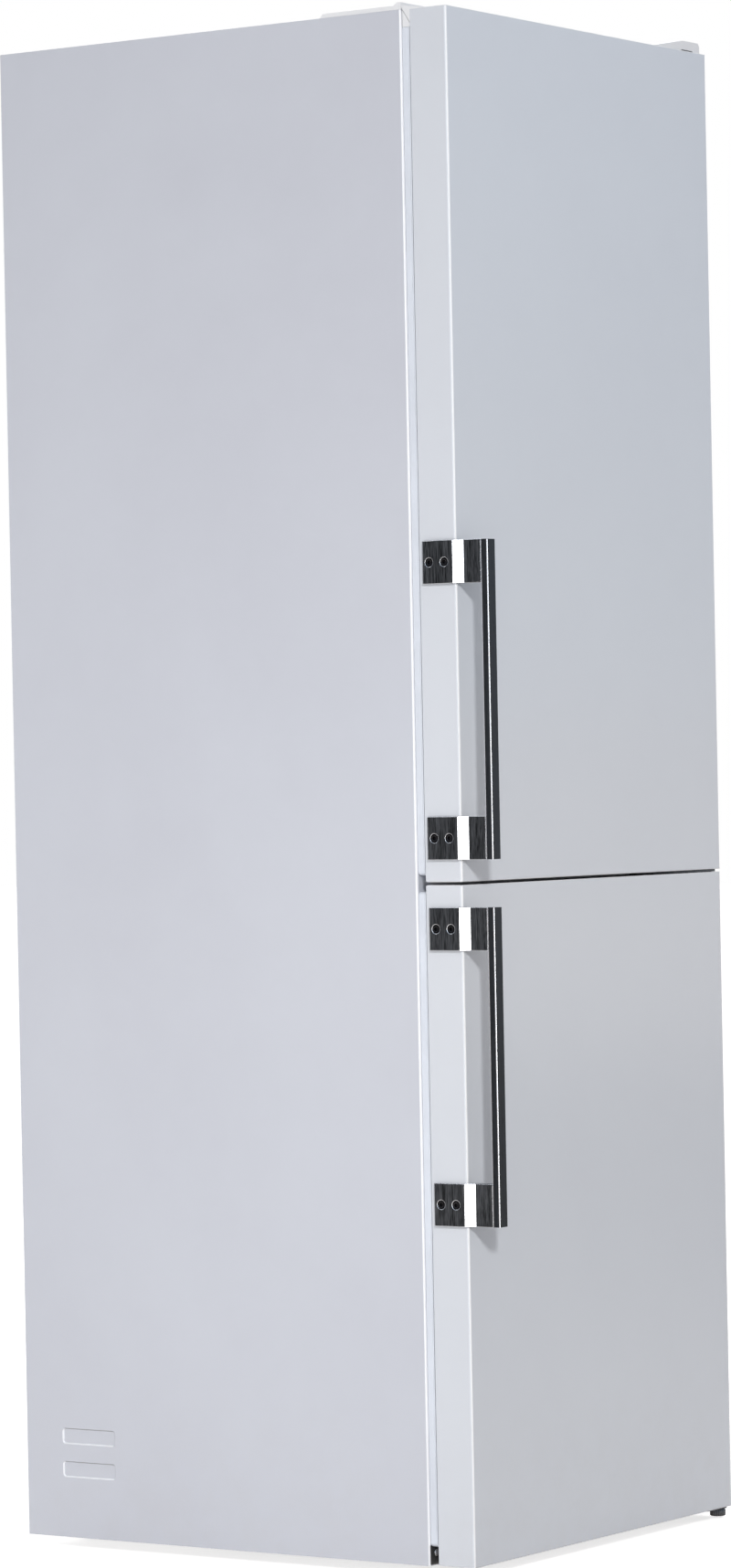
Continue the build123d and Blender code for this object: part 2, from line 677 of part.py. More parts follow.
with BuildPart() as middle_hinge:
    hinge_plate((z_gap - HINGE_SHEET / 2, z_gap + HINGE_SHEET / 2))
    slab(front_hinge_x, leg_y, middle_leg)
    pin_length = DOOR_GAP + 2 * PIN_REACH
    bored((hinge_x, hinge_y, z_lower[1] - PIN_REACH), PIN_RADIUS, pin_length)
    for x in leg_screws:
        bored((x, leg_y[0], z_gap), SCREW_HOLE, HINGE_SHEET, "Y", Mode.SUBTRACT)
        head = SCREW_HEAD_RADIUS + SCREW_CLEARANCE
        bored((x, leg_y[0] - HINGE_EDGE, z_gap), head, HINGE_EDGE, "Y", Mode.SUBTRACT)
save(middle_hinge, "middle_hinge")

# Bottom hinge: the plate under the lower door with its leg on the sill
with BuildPart() as bottom_hinge:
    hinge_plate(bottom_plate)
    slab(front_hinge_x, leg_y, bottom_leg)
    pin_length = z_lower[0] + PIN_REACH - bottom_plate[0]
    bored((hinge_x, hinge_y, bottom_plate[0]), PIN_RADIUS, pin_length)
    nut_z = bottom_plate[0] - ADJUSTER_HEIGHT
    bored((hinge_x, hinge_y, nut_z), ADJUSTER_RADIUS, ADJUSTER_HEIGHT)
    for x in leg_screws + [hinge_x]:
        bored((x, leg_y[0], sill_screw_z), SCREW_HOLE, HINGE_SHEET, "Y", Mode.SUBTRACT)
save(bottom_hinge, "bottom_hinge")

# All the screws of the hinges, and the one in the spare hinge place on the left
with BuildPart() as hinge_screws:
    for x, y in top_screws:
        start = z_cab[1] + HINGE_SHEET
        bored((x, y, start), SCREW_HEAD_RADIUS, SCREW_HEAD)
        bored((x, y, start - SCREW_LENGTH), SCREW_RADIUS, SCREW_LENGTH)
    front_screws = [(x, z_gap, leg_y[0]) for x in leg_screws]
    front_screws += [(x, sill_screw_z, leg_y[0]) for x in leg_screws + [hinge_x]]
    front_screws.append((-hinge_x, sill_screw_z, y_cab))
    for x, z, seat in front_screws:
        bored((x, seat - SCREW_HEAD, z), SCREW_HEAD_RADIUS, SCREW_HEAD, "Y")
        bored((x, seat, z), SCREW_RADIUS, SCREW_LENGTH, "Y")
save(hinge_screws, "hinge_screws")

# Handle places: the bars start the same distance above and below the gap
handle_spans = {
    "upper": (z_upper[0] + HANDLE_MARGIN, z_upper[0] + HANDLE_MARGIN + HANDLE_LENGTH),
    "lower": (z_lower[1] - HANDLE_MARGIN - HANDLE_LENGTH, z_lower[1] - HANDLE_MARGIN),
}
door_spans = {"upper": z_upper, "lower": z_lower}
bar_side = -half - BRACKET_PLATE + BRACKET_SLANT_ACROSS
bar_x = (bar_side, bar_side + BAR_WIDTH)
bar_y = (y_handle, y_handle + BAR_DEPTH)
screw_depths = [y_door + BRACKET_SCREW_FIRST + step * BRACKET_SCREW_PITCH for step in range(2)]


def bracket_spans(door):
    """The heights of a door's two handle brackets, one at each end of the bar."""
    low, high = handle_spans[door]
    return ((low, low + BRACKET_HEIGHT), (high - BRACKET_HEIGHT, high))


def handle_screw_places(door):
    """Where the handle's screws enter the side of a door, as (Y, Z)."""
    return [(y, sum(span) / 2) for span in bracket_spans(door) for y in screw_depths]


# Outer skins of the doors, folded from sheet
for door, z_span in door_spans.items():
    with BuildPart() as skin:
        slab(both_ways(half), (y_door, y_seal), z_span)
        corners = skin.edges().filter_by(Axis.Z).group_by(Axis.Y)[0]
        fillet(corners, CORNER)
        with BuildSketch(Plane.XY.offset(z_span[0])) as hollow:
            with Locations((0, (y_door + SHEET + y_seal + SHEET) / 2)):
                Rectangle(2 * inside, DOOR_DEPTH)
            fillet(hollow.vertices().group_by(Axis.Y)[0], CORNER - SHEET)
        extrude(hollow.sketch, amount=z_span[1] - z_span[0], mode=Mode.SUBTRACT)
        for y, z in handle_screw_places(door):
            hole = HANDLE_SCREW_RADIUS + SCREW_CLEARANCE
            bored((-half, y, z), hole, SHEET, "X", Mode.SUBTRACT)
    save(skin, f"{door}_door_skin")


def door_cap(z_span, mouth):
    """One end cap of a door with the blind bore for the hinge pin, open at the mouth."""
    slab(both_ways(inside), (y_door + SHEET, y_seal), z_span)
    depth = PIN_REACH + PIN_END_CLEARANCE
    start = z_span[1] - depth if mouth > 0 else z_span[0]
    bored((hinge_x, hinge_y, start), PIN_RADIUS + PIN_CLEARANCE, depth, mode=Mode.SUBTRACT)


# End caps of the doors; the upper door's top cap has a wing that shades the seal
for door, z_span in door_spans.items():
    with BuildPart() as caps:
        door_cap((z_span[0], z_span[0] + CAP), -1)
        door_cap((z_span[1] - CAP, z_span[1]), 1)
        upright = caps.edges().filter_by(Axis.Z).group_by(Axis.Y)[0]
        fillet(upright, CORNER)
        if door == "upper":
            tip_y = y_cab - WING_CLEARANCE
            with BuildSketch(Plane.YZ.offset(-half)) as wing:
                with BuildLine():
                    Polyline(
                        (y_seal - WING_START, z_span[1]),
                        (tip_y, z_span[1] + WING_RISE),
                        (tip_y, z_span[1] + WING_RISE / 2),
                        (y_seal, z_span[1] - WING_DROP),
                        (y_seal, z_span[1]),
                        close=True,
                    )
                make_face()
            extrude(wing.sketch, amount=cap_x[0] - WING_SIDE_CLEARANCE + half)
    save(caps, f"{door}_door_caps")

# Inner panels of the doors: a sheet with a hollow raised ring that enters the compartment
plugs = {
    "upper": (fridge_half, fridge_z, UPPER_DYKE_REACH),
    "lower": (freezer_half, freezer_z, LOWER_DYKE_REACH),
}


def dyke(door, skin, mode=Mode.ADD):
    """The raised ring on a door's inner panel, shrunk inwards by a skin."""
    reach_x, z_span, reach_y = plugs[door]
    plug_z = (z_span[0] + PLUG_CLEARANCE, z_span[1] - PLUG_CLEARANCE)
    start = y_seal if skin == 0 else y_seal - LINER
    ring(
        reach_x - PLUG_CLEARANCE,
        (start, y_cab + reach_y - skin),
        plug_z,
        skin,
        DYKE - skin,
        DYKE_RADIUS - skin,
        mode,
    )


dyke_half = fridge_half - PLUG_CLEARANCE - DYKE
bin_floors = {
    "bottle_bin": z_upper[0] + BOTTLE_BIN_RISE,
    "middle_bin": z_upper[0] + MIDDLE_BIN_RISE,
    "top_bin": z_upper[0] + TOP_BIN_RISE,
}
bin_heights = {
    "bottle_bin": BOTTLE_BIN_HEIGHT,
    "middle_bin": SMALL_BIN_HEIGHT,
    "top_bin": SMALL_BIN_HEIGHT,
}

for door, z_span in door_spans.items():
    panel_z = (z_span[0] + CAP, z_span[1] - CAP)
    with BuildPart() as inner_panel:
        slab(both_ways(inside), (y_seal - LINER, y_seal), panel_z)
        dyke(door, 0)
        dyke(door, LINER, Mode.SUBTRACT)
        if door == "upper":
            for floor in bin_floors.values():
                for side in (-1, 1):
                    lug = sorted((side * dyke_half, side * (dyke_half - BIN_LUG)))
                    lug_z = (floor - BIN_LUG_HEIGHT, floor)
                    slab(lug, (y_seal, y_cab + UPPER_DYKE_REACH), lug_z)
    save(inner_panel, f"{door}_door_liner")
    with BuildPart() as door_foam:
        slab(both_ways(inside), (y_door + SHEET, y_seal - LINER), panel_z)
        upright = door_foam.edges().filter_by(Axis.Z).group_by(Axis.Y)[0]
        fillet(upright, CORNER)
        dyke(door, LINER)
        for y, z in handle_screw_places(door):
            hole = HANDLE_SCREW_RADIUS + SCREW_CLEARANCE
            bored((-inside, y, z), hole, HANDLE_SCREW_LENGTH, "X", Mode.SUBTRACT)
    save(door_foam, f"{door}_door_foam")

# Magnetic seals, a hair clear of the cabinet
seal_spans = {
    "upper": (z_upper[0] + SEAL_AT_GAP, z_upper[1] - SEAL_TOP),
    "lower": (z_lower[0] + SEAL_FOOT, z_lower[1] - SEAL_AT_GAP),
}
for door, z_span in seal_spans.items():
    with BuildPart() as seal:
        span_y = (y_seal, y_cab - SEAL_CLEARANCE)
        ring(half - SEAL_INSET, span_y, z_span, 0, SEAL_WIDTH, SEAL_CORNER)
        contact = seal.faces().sort_by(Axis.Y)[-1]
        fillet(contact.outer_wire().edges(), SEAL_ROUND)
    save(seal, f"{door}_seal")

# Bins on the upper door, resting on the lugs of its inner panel
for name, floor in bin_floors.items():
    with BuildPart() as door_bin:
        reach = dyke_half - BIN_CLEARANCE
        bin_y = (y_seal + BIN_CLEARANCE, y_cab + BIN_REACH)
        bin_z = (floor, floor + bin_heights[name])
        slab(both_ways(reach), bin_y, bin_z)
        fillet(door_bin.edges().filter_by(Axis.Z).group_by(Axis.Y)[-1], BIN_RADIUS)
        offset(amount=-BIN_WALL, openings=door_bin.faces().sort_by(Axis.Z)[-1])
    save(door_bin, name)

# Handles: brackets bent round the door's edge, bars across their ends, countersunk screws
arm_x = bar_x[0] + BRACKET_ARM
slant_y = y_door - BRACKET_SLANT_FORWARD + BRACKET_PLATE / 2
bracket_outline = [
    (-half - BRACKET_PLATE + BRACKET_CHAMFER, y_door + BRACKET_TAIL),
    (-half - BRACKET_PLATE, y_door + BRACKET_TAIL - BRACKET_CHAMFER),
    (-half - BRACKET_PLATE, y_door + BRACKET_PLATE / 2),
    (bar_x[0], slant_y),
    (bar_x[0], bar_y[1]),
    (arm_x, bar_y[1]),
    (arm_x, slant_y),
    (arm_x - BRACKET_PLATE, y_door - BRACKET_CLEARANCE),
    (-half, y_door - BRACKET_CLEARANCE),
    (-half, y_door + BRACKET_TAIL),
]
for door in door_spans:
    with BuildPart() as brackets:
        for low, high in bracket_spans(door):
            with BuildSketch(Plane.XY.offset(low)) as section:
                with BuildLine():
                    Polyline(*bracket_outline, close=True)
                make_face()
            extrude(section.sketch, amount=high - low)
        for y, z in handle_screw_places(door):
            hole = HANDLE_SCREW_RADIUS + SCREW_CLEARANCE
            cone = HANDLE_SCREW_HEAD_RADIUS + SCREW_CLEARANCE
            bored((-half - BRACKET_PLATE, y, z), hole, BRACKET_PLATE, "X", Mode.SUBTRACT)
            with Locations(Location((-half - BRACKET_PLATE, y, z), (0, 90, 0))):
                Cone(cone, hole, COUNTERSINK, align=LOW, mode=Mode.SUBTRACT)
    save(brackets, f"{door}_handle_brackets")
    with BuildPart() as bar:
        slab(bar_x, bar_y, handle_spans[door])
        upright = bar.edges().filter_by(Axis.Z).group_by(Axis.Y)[0]
        chamfer(upright, BAR_CHAMFER)
    save(bar, f"{door}_handle_bar")
    with BuildPart() as handle_screws:
        for y, z in handle_screw_places(door):
            seat = Location((-half - BRACKET_PLATE, y, z), (0, 90, 0))
            bored((-half - BRACKET_PLATE, y, z), HANDLE_SCREW_RADIUS, HANDLE_SCREW_LENGTH, "X")
            with Locations(seat):
                Cone(HANDLE_SCREW_HEAD_RADIUS, HANDLE_SCREW_RADIUS, COUNTERSINK, align=LOW)
                Cylinder(HANDLE_SCREW_RADIUS, COUNTERSINK / 2, align=LOW, mode=Mode.SUBTRACT)
    save(handle_screws, f"{door}_handle_screws")

# Glass shelves of the fridge, the lowest of which covers the crisper
with BuildPart() as fridge_shelves:
    reach = fridge_half - SHELF_SIDE_CLEARANCE
    for level in shelf_levels.values():
        slab(both_ways(reach), shelf_y, (level, level + GLASS))
save(fridge_shelves, "fridge_shelves")

# Front trims clipped over the shelves' edges
with BuildPart() as shelf_trims:
    for level in shelf_levels.values():
        reach = fridge_half - LEDGE_WIDTH - RUN_CLEARANCE
        trim_y = (shelf_y[0] - TRIM_WALL, shelf_y[0] + TRIM_DEPTH)
        slab(both_ways(reach), trim_y, (level - TRIM_LIP, level + GLASS + TRIM_LIP))
        groove_y = (shelf_y[0], trim_y[1])
        slab(both_ways(reach), groove_y, (level, level + GLASS), Mode.SUBTRACT)
save(shelf_trims, "shelf_trims")


def tray(reach, y_span, z_span):
    """An open drawer box with a thick front and a finger recess in it."""
    slab(both_ways(reach), y_span, z_span)
    hollow_y = (y_span[0] + DRAWER_FRONT, y_span[1] - DRAWER_WALL)
    hollow_z = (z_span[0] + DRAWER_WALL, z_span[1])
    slab(both_ways(reach - DRAWER_WALL), hollow_y, hollow_z, Mode.SUBTRACT)
    grip_z = (z_span[1] - GRIP_FROM_TOP - GRIP_HEIGHT, z_span[1] - GRIP_FROM_TOP)
    slab(both_ways(GRIP_HALF), (y_span[0], y_span[0] + GRIP_DEPTH), grip_z, Mode.SUBTRACT)


with BuildPart() as crisper_drawer:
    crisper_y = (y_cab + CRISPER_SETBACK, fridge_y - CRISPER_REAR_CLEARANCE)
    tray(crisper_half, crisper_y, crisper_z)
save(crisper_drawer, "crisper_drawer")

for name, floor in drawer_floors.items():
    with BuildPart() as drawer:
        drawer_z = (floor + SLIDE_CLEARANCE, drawer_ceilings[name] - DRAWER_HEADROOM)
        tray(drawer_half, (y_cab + DRAWER_SETBACK, drawer_rears[name]), drawer_z)
    save(drawer, name)

# Glass plates that divide the freezer's three drawers
with BuildPart() as freezer_shelves:
    reach = freezer_half - SHELF_SIDE_CLEARANCE
    divider_y = (y_cab + DRAWER_SETBACK + DRAWER_FRONT, cover_y - COVER_SHEET - RUN_CLEARANCE)
    for level in divider_levels:
        slab(both_ways(reach), divider_y, (level, level + GLASS))
save(freezer_shelves, "freezer_shelves")

# Air duct on the rear wall of the fridge, with its outlet slots
duct_z = (shelf_levels["crisper_lid"] + GLASS + DUCT_MARGIN, fridge_z[1] - 2 * DUCT_MARGIN)
with BuildPart() as air_duct:
    slab(both_ways(DUCT_HALF), (fridge_y - DUCT_DEPTH, fridge_y), duct_z)
    hollow_z = (duct_z[0] + DUCT_WALL, duct_z[1] - DUCT_WALL)
    hollow_y = (fridge_y - DUCT_DEPTH + DUCT_WALL, fridge_y)
    slab(both_ways(DUCT_HALF - DUCT_WALL), hollow_y, hollow_z, Mode.SUBTRACT)
    pitch = (duct_z[1] - duct_z[0]) / (DUCT_SLOTS + 1)
    for step in range(DUCT_SLOTS):
        rise = duct_z[0] + (step + 1) * pitch
        slot_z = (rise - DUCT_SLOT_HEIGHT / 2, rise + DUCT_SLOT_HEIGHT / 2)
        slot_y = (fridge_y - DUCT_DEPTH, fridge_y - DUCT_DEPTH + DUCT_WALL)
        slab(both_ways(DUCT_SLOT_LENGTH / 2), slot_y, slot_z, Mode.SUBTRACT)
save(air_duct, "air_duct")

# Control housing under the fridge ceiling, with its lamp lens and thermostat knob
housing_y = (y_cab + HOUSING_SETBACK, y_cab + HOUSING_SETBACK + HOUSING_DEPTH)
housing_z = (fridge_z[1] - HOUSING_HEIGHT, fridge_z[1])
lens_y = (housing_y[1] - LENS_FROM_REAR - LENS_LENGTH, housing_y[1] - LENS_FROM_REAR)
knob_z = sum(housing_z) / 2
with BuildPart() as control_housing:
    slab(both_ways(HOUSING_HALF), housing_y, housing_z)
    hollow_y = (housing_y[0] + HOUSING_WALL, housing_y[1] - HOUSING_WALL)
    hollow_z = (housing_z[0] + HOUSING_WALL, housing_z[1])
    slab(both_ways(HOUSING_HALF - HOUSING_WALL), hollow_y, hollow_z, Mode.SUBTRACT)
    window_z = (housing_z[0], hollow_z[0])
    slab(both_ways(LENS_HALF), lens_y, window_z, Mode.SUBTRACT)
    bore = KNOB_SPINDLE_RADIUS + KNOB_CLEARANCE
    bored((KNOB_OFFSET, housing_y[0], knob_z), bore, HOUSING_WALL, "Y", Mode.SUBTRACT)
save(control_housing, "control_housing")

with BuildPart() as lamp_lens:
    slab(both_ways(LENS_HALF), lens_y, (housing_z[0] - LENS_DEPTH, housing_z[0] + HOUSING_WALL))
    lower = lamp_lens.faces().sort_by(Axis.Z)[0].edges()
    fillet(lower, LENS_DEPTH / 2)
    flange_z = (housing_z[0] + HOUSING_WALL, housing_z[0] + 2 * HOUSING_WALL)
    slab(both_ways(LENS_HALF + HOUSING_WALL), lens_y, flange_z)
save(lamp_lens, "lamp_lens")

with BuildPart() as thermostat_knob:
    knob_y = housing_y[0] - SLIDE_CLEARANCE
    bored((KNOB_OFFSET, knob_y - KNOB_DEPTH, knob_z), KNOB_RADIUS, KNOB_DEPTH, "Y")
    bored((KNOB_OFFSET, knob_y, knob_z), KNOB_SPINDLE_RADIUS, KNOB_SPINDLE_LENGTH, "Y")
    grip_x = (KNOB_OFFSET - KNOB_GRIP_WIDTH / 2, KNOB_OFFSET + KNOB_GRIP_WIDTH / 2)
    grip_y = (knob_y - KNOB_DEPTH - KNOB_GRIP_DEPTH, knob_y - KNOB_DEPTH)
    slab(grip_x, grip_y, (knob_z - KNOB_RADIUS + SHEET, knob_z + KNOB_RADIUS - SHEET))
save(thermostat_knob, "thermostat_knob")

# Cover over the freezer's cooling parts, with the fan's mouth and a return slot
fan_z = freezer_z[1] - FAN_DROP
with BuildPart() as evaporator_cover:
    cover_z = (step_z, freezer_z[1])
    reach = freezer_half - SLIDE_CLEARANCE
    tunnel(reach, (cover_y - COVER_SHEET, cover_y), cover_z, LINER_RADIUS)
    mouth = FAN_RADIUS + FAN_CLEARANCE
    bored((0, cover_y - COVER_SHEET, fan_z), mouth, COVER_SHEET, "Y", Mode.SUBTRACT)
    slot_z = (cover_z[0] + 2 * GLASS, cover_z[0] + 2 * GLASS + RUNNER_HEIGHT)
    slot_y = (cover_y - COVER_SHEET, cover_y)
    slab(both_ways(evaporator_half), slot_y, slot_z, Mode.SUBTRACT)
save(evaporator_cover, "evaporator_cover")


def serpentine(points, radius, tube):
    """A round tube of one radius along a chain of straight runs with rounded corners."""
    with BuildLine() as path:
        FilletPolyline(*points, radius=radius)
    with BuildSketch(Plane(origin=path.line @ 0, z_dir=path.line % 0)) as section:
        Circle(tube)
    sweep(section.sketch, path=path.line)


# Evaporator: a finned coil fixed to the freezer's rear wall
coil_y = (cover_y + freezer_y) / 2
coil_z = divider_levels[0] + GLASS + EVAPORATOR_RISE
coil_pitch = EVAPORATOR_HEIGHT / EVAPORATOR_PASSES
fin_reach = evaporator_half - coil_pitch
with BuildPart() as evaporator:
    turns = []
    for step in range(EVAPORATOR_PASSES):
        level = coil_z + (step + 0.5) * coil_pitch
        start = evaporator_half if step % 2 else -evaporator_half
        turns += [(start, coil_y, level), (-start, coil_y, level)]
    serpentine(turns, coil_pitch * BEND_SHARE, EVAPORATOR_TUBE_RADIUS)
    for step in range(EVAPORATOR_FINS):
        middle = -fin_reach + 2 * fin_reach * step / (EVAPORATOR_FINS - 1)
        last = step in (0, EVAPORATOR_FINS - 1)
        fin_y = (coil_y - EVAPORATOR_DEPTH / 2, freezer_y if last else coil_y + EVAPORATOR_DEPTH / 2)
        fin_x = (middle - FIN_SHEET / 2, middle + FIN_SHEET / 2)
        slab(fin_x, fin_y, (coil_z, coil_z + EVAPORATOR_HEIGHT))
save(evaporator, "evaporator")

# Fan: the motor on its bracket behind the cover, and the rotor on the motor's shaft
hub_y = (cover_y, cover_y + FAN_HUB_LENGTH)
motor_y = (hub_y[1] + 2 * FAN_SHAFT_RADIUS, coil_y + EVAPORATOR_DEPTH / 2)
arm_reach = FAN_RADIUS + 2 * FAN_CLEARANCE
with BuildPart() as fan_motor:
    bored((0, motor_y[0], fan_z), MOTOR_RADIUS, motor_y[1] - motor_y[0], "Y")
    shaft_start = hub_y[0] + FAN_SHAFT_RADIUS
    bored((0, shaft_start, fan_z), FAN_SHAFT_RADIUS, motor_y[0] - shaft_start, "Y")
    bracket_z = (fan_z - MOTOR_BRACKET_HEIGHT / 2, fan_z + MOTOR_BRACKET_HEIGHT / 2)
    back_y = (motor_y[1] - COVER_SHEET, motor_y[1])
    slab(both_ways(arm_reach + COVER_SHEET), back_y, bracket_z)
    for side in (-1, 1):
        arm = sorted((side * arm_reach, side * (arm_reach + COVER_SHEET)))
        slab(arm, (cover_y, motor_y[1]), bracket_z)
save(fan_motor, "fan_motor")

with BuildPart() as fan_rotor:
    bored((0, hub_y[0], fan_z), FAN_HUB_RADIUS, FAN_HUB_LENGTH, "Y")
    blade_length = FAN_RADIUS - FAN_HUB_RADIUS / 2
    middle = (0, sum(hub_y) / 2, fan_z)
    for step in range(FAN_BLADES):
        turn = Location(middle) * Location((0, 0, 0), (0, 360 * step / FAN_BLADES, 0))
        root = turn * Location((0, 0, FAN_HUB_RADIUS / 2), (0, 0, FAN_BLADE_PITCH))
        with Locations(root):
            Box(FAN_BLADE_CHORD, FAN_BLADE_SHEET, blade_length, align=LOW)
    bore = FAN_SHAFT_RADIUS + FAN_SHAFT_CLEARANCE
    bored((0, hub_y[0], fan_z), bore, FAN_HUB_LENGTH, "Y", Mode.SUBTRACT)
save(fan_rotor, "fan_rotor")

# Compressor plate across the machine bay, with the rollers' cheeks and axles
plate_y = (y_bay, y_rear - SHEET)
plate_z = z_pan
lip_y = (y_rear - GLAND_LENGTH, y_rear - GLAND_LENGTH + PAN_SHEET)
gland_x = GLAND_EDGE - half
gland_z = plate_z[1] + PLATE_LIP / 2
axle_z = ROLLER_RADIUS
with BuildPart() as compressor_plate:
    slab(both_ways(inside), plate_y, plate_z)
    slab(both_ways(half - REAR_FLANGE), lip_y, (plate_z[1], plate_z[1] + PLATE_LIP))
    gland_hole = GLAND_RADIUS + GLAND_CLEARANCE
    bored((gland_x, lip_y[0], gland_z), gland_hole, PAN_SHEET, "Y", Mode.SUBTRACT)
    for x in roller_places.values():
        gap = ROLLER_WIDTH / 2 + ROLLER_SIDE_CLEARANCE
        for side in (-1, 1):
            cheek = sorted((x + side * gap, x + side * (gap + CHEEK_SHEET)))
            cheek_y = (roller_y - CHEEK_EDGE, roller_y + CHEEK_EDGE)
            slab(cheek, cheek_y, (axle_z - CHEEK_EDGE, plate_z[0]))
        bored((x - gap, roller_y, axle_z), ROLLER_AXLE_RADIUS, 2 * gap, "X")
save(compressor_plate, "compressor_plate")

for name, x in roller_places.items():
    with BuildPart() as roller:
        low = (x - ROLLER_WIDTH / 2, roller_y, axle_z)
        bored(low, ROLLER_RADIUS, ROLLER_WIDTH, "X")
        rims = roller.edges().filter_by(GeomType.CIRCLE)
        fillet(rims, PIN_END_CLEARANCE)
        bore = ROLLER_AXLE_RADIUS + ROLLER_CLEARANCE
        bored(low, bore, ROLLER_WIDTH, "X", Mode.SUBTRACT)
    save(roller, f"{name}_roller")

# Levelling feet: a pad on a stud that screws into the base frame
for name, x in foot_places.items():
    with BuildPart() as foot:
        bored((x, foot_y, 0), FOOT_PAD_RADIUS, FOOT_PAD_HEIGHT)
        fillet(foot.edges().sort_by(Axis.Z)[-1], PIN_END_CLEARANCE)
        stud_top = z_pan[1] + FOOT_TRAVEL
        bored((x, foot_y, FOOT_PAD_HEIGHT), FOOT_STUD_RADIUS, stud_top - FOOT_PAD_HEIGHT)
        with BuildSketch(Plane.XY.offset(FOOT_PAD_HEIGHT)) as nut:
            with Locations((x, foot_y)):
                RegularPolygon(2 * FOOT_STUD_RADIUS, 6)
        extrude(nut.sketch, amount=FOOT_STUD_RADIUS)
    save(foot, f"{name}_foot")

# Compressor on its rubber mounts
comp_x = COMPRESSOR_OFFSET
comp_y = (y_bay + y_rear) / 2
comp_z = plate_z[1] + MOUNT_HEIGHT
stub_x = [comp_x - STUB_SPREAD, comp_x + STUB_SPREAD]
stub_z = comp_z + COMPRESSOR_BODY / 2 + STUB_SPREAD
stub_y = comp_y + COMPRESSOR_RADIUS + STUB_REACH
comp_top = comp_z + COMPRESSOR_BODY + COMPRESSOR_DOME
with BuildPart() as compressor:
    with BuildSketch(Plane.XZ.offset(-comp_y)) as section:
        with BuildLine():
            seam = comp_z + COMPRESSOR_BODY
            wide = COMPRESSOR_RADIUS + COMPRESSOR_SEAM / 2
            flat = COMPRESSOR_RADIUS / 4
            Polyline(
                (comp_x + flat, comp_top),
                (comp_x, comp_top),
                (comp_x, comp_z),
                (comp_x + COMPRESSOR_RADIUS, comp_z),
                (comp_x + COMPRESSOR_RADIUS, seam - COMPRESSOR_SEAM),
                (comp_x + wide, seam - COMPRESSOR_SEAM),
                (comp_x + wide, seam),
                (comp_x + COMPRESSOR_RADIUS, seam),
            )
            shoulder = (comp_x + COMPRESSOR_RADIUS, seam)
            RadiusArc(shoulder, (comp_x + flat, comp_top), -COMPRESSOR_RADIUS)
        make_face()
    revolve(section.sketch, axis=Axis((comp_x, comp_y, 0), (0, 0, 1)))
    reach = COMPRESSOR_FOOT_SPREAD + MOUNT_RADIUS
    foot_x = (comp_x - reach, comp_x + reach)
    foot_span_y = (comp_y - reach, comp_y + reach)
    slab(foot_x, foot_span_y, (comp_z, comp_z + COMPRESSOR_FOOT_SHEET))
    for x in stub_x:
        bored((x, comp_y, stub_z), PIPE_RADIUS, stub_y - comp_y, "Y")
save(compressor, "compressor")

with BuildPart() as compressor_mounts:
    for side in (-1, 1):
        for end in (-1, 1):
            place = (comp_x + side * COMPRESSOR_FOOT_SPREAD, comp_y + end * COMPRESSOR_FOOT_SPREAD)
            bored((*place, plate_z[1]), MOUNT_RADIUS, MOUNT_HEIGHT)
save(compressor_mounts, "compressor_mounts")

with BuildPart() as terminal_box:
    box_x = (comp_x - COMPRESSOR_RADIUS - BOX_WIDTH, comp_x - COMPRESSOR_RADIUS / 2)
    box_y = (comp_y - BOX_DEPTH / 2, comp_y + BOX_DEPTH / 2)
    slab(box_x, box_y, (comp_z + BOX_RISE, comp_z + BOX_RISE + BOX_HEIGHT))
    cut = BOX_RISE + BOX_HEIGHT
    body = COMPRESSOR_RADIUS + BOX_CLEARANCE
    bored((comp_x, comp_y, comp_z), body, cut, mode=Mode.SUBTRACT)
save(terminal_box, "terminal_box")

with BuildPart() as drip_tray:
    tray_x = (comp_x - TRAY_HALF_X, comp_x + TRAY_HALF_X)
    tray_y = (comp_y - TRAY_HALF_Y, comp_y + TRAY_HALF_Y)
    slab(tray_x, tray_y, (comp_top, comp_top + TRAY_HEIGHT))
    fillet(drip_tray.edges().filter_by(Axis.Z), DYKE_RADIUS)
    offset(amount=-TRAY_WALL, openings=drip_tray.faces().sort_by(Axis.Z)[-1])
save(drip_tray, "drip_tray")

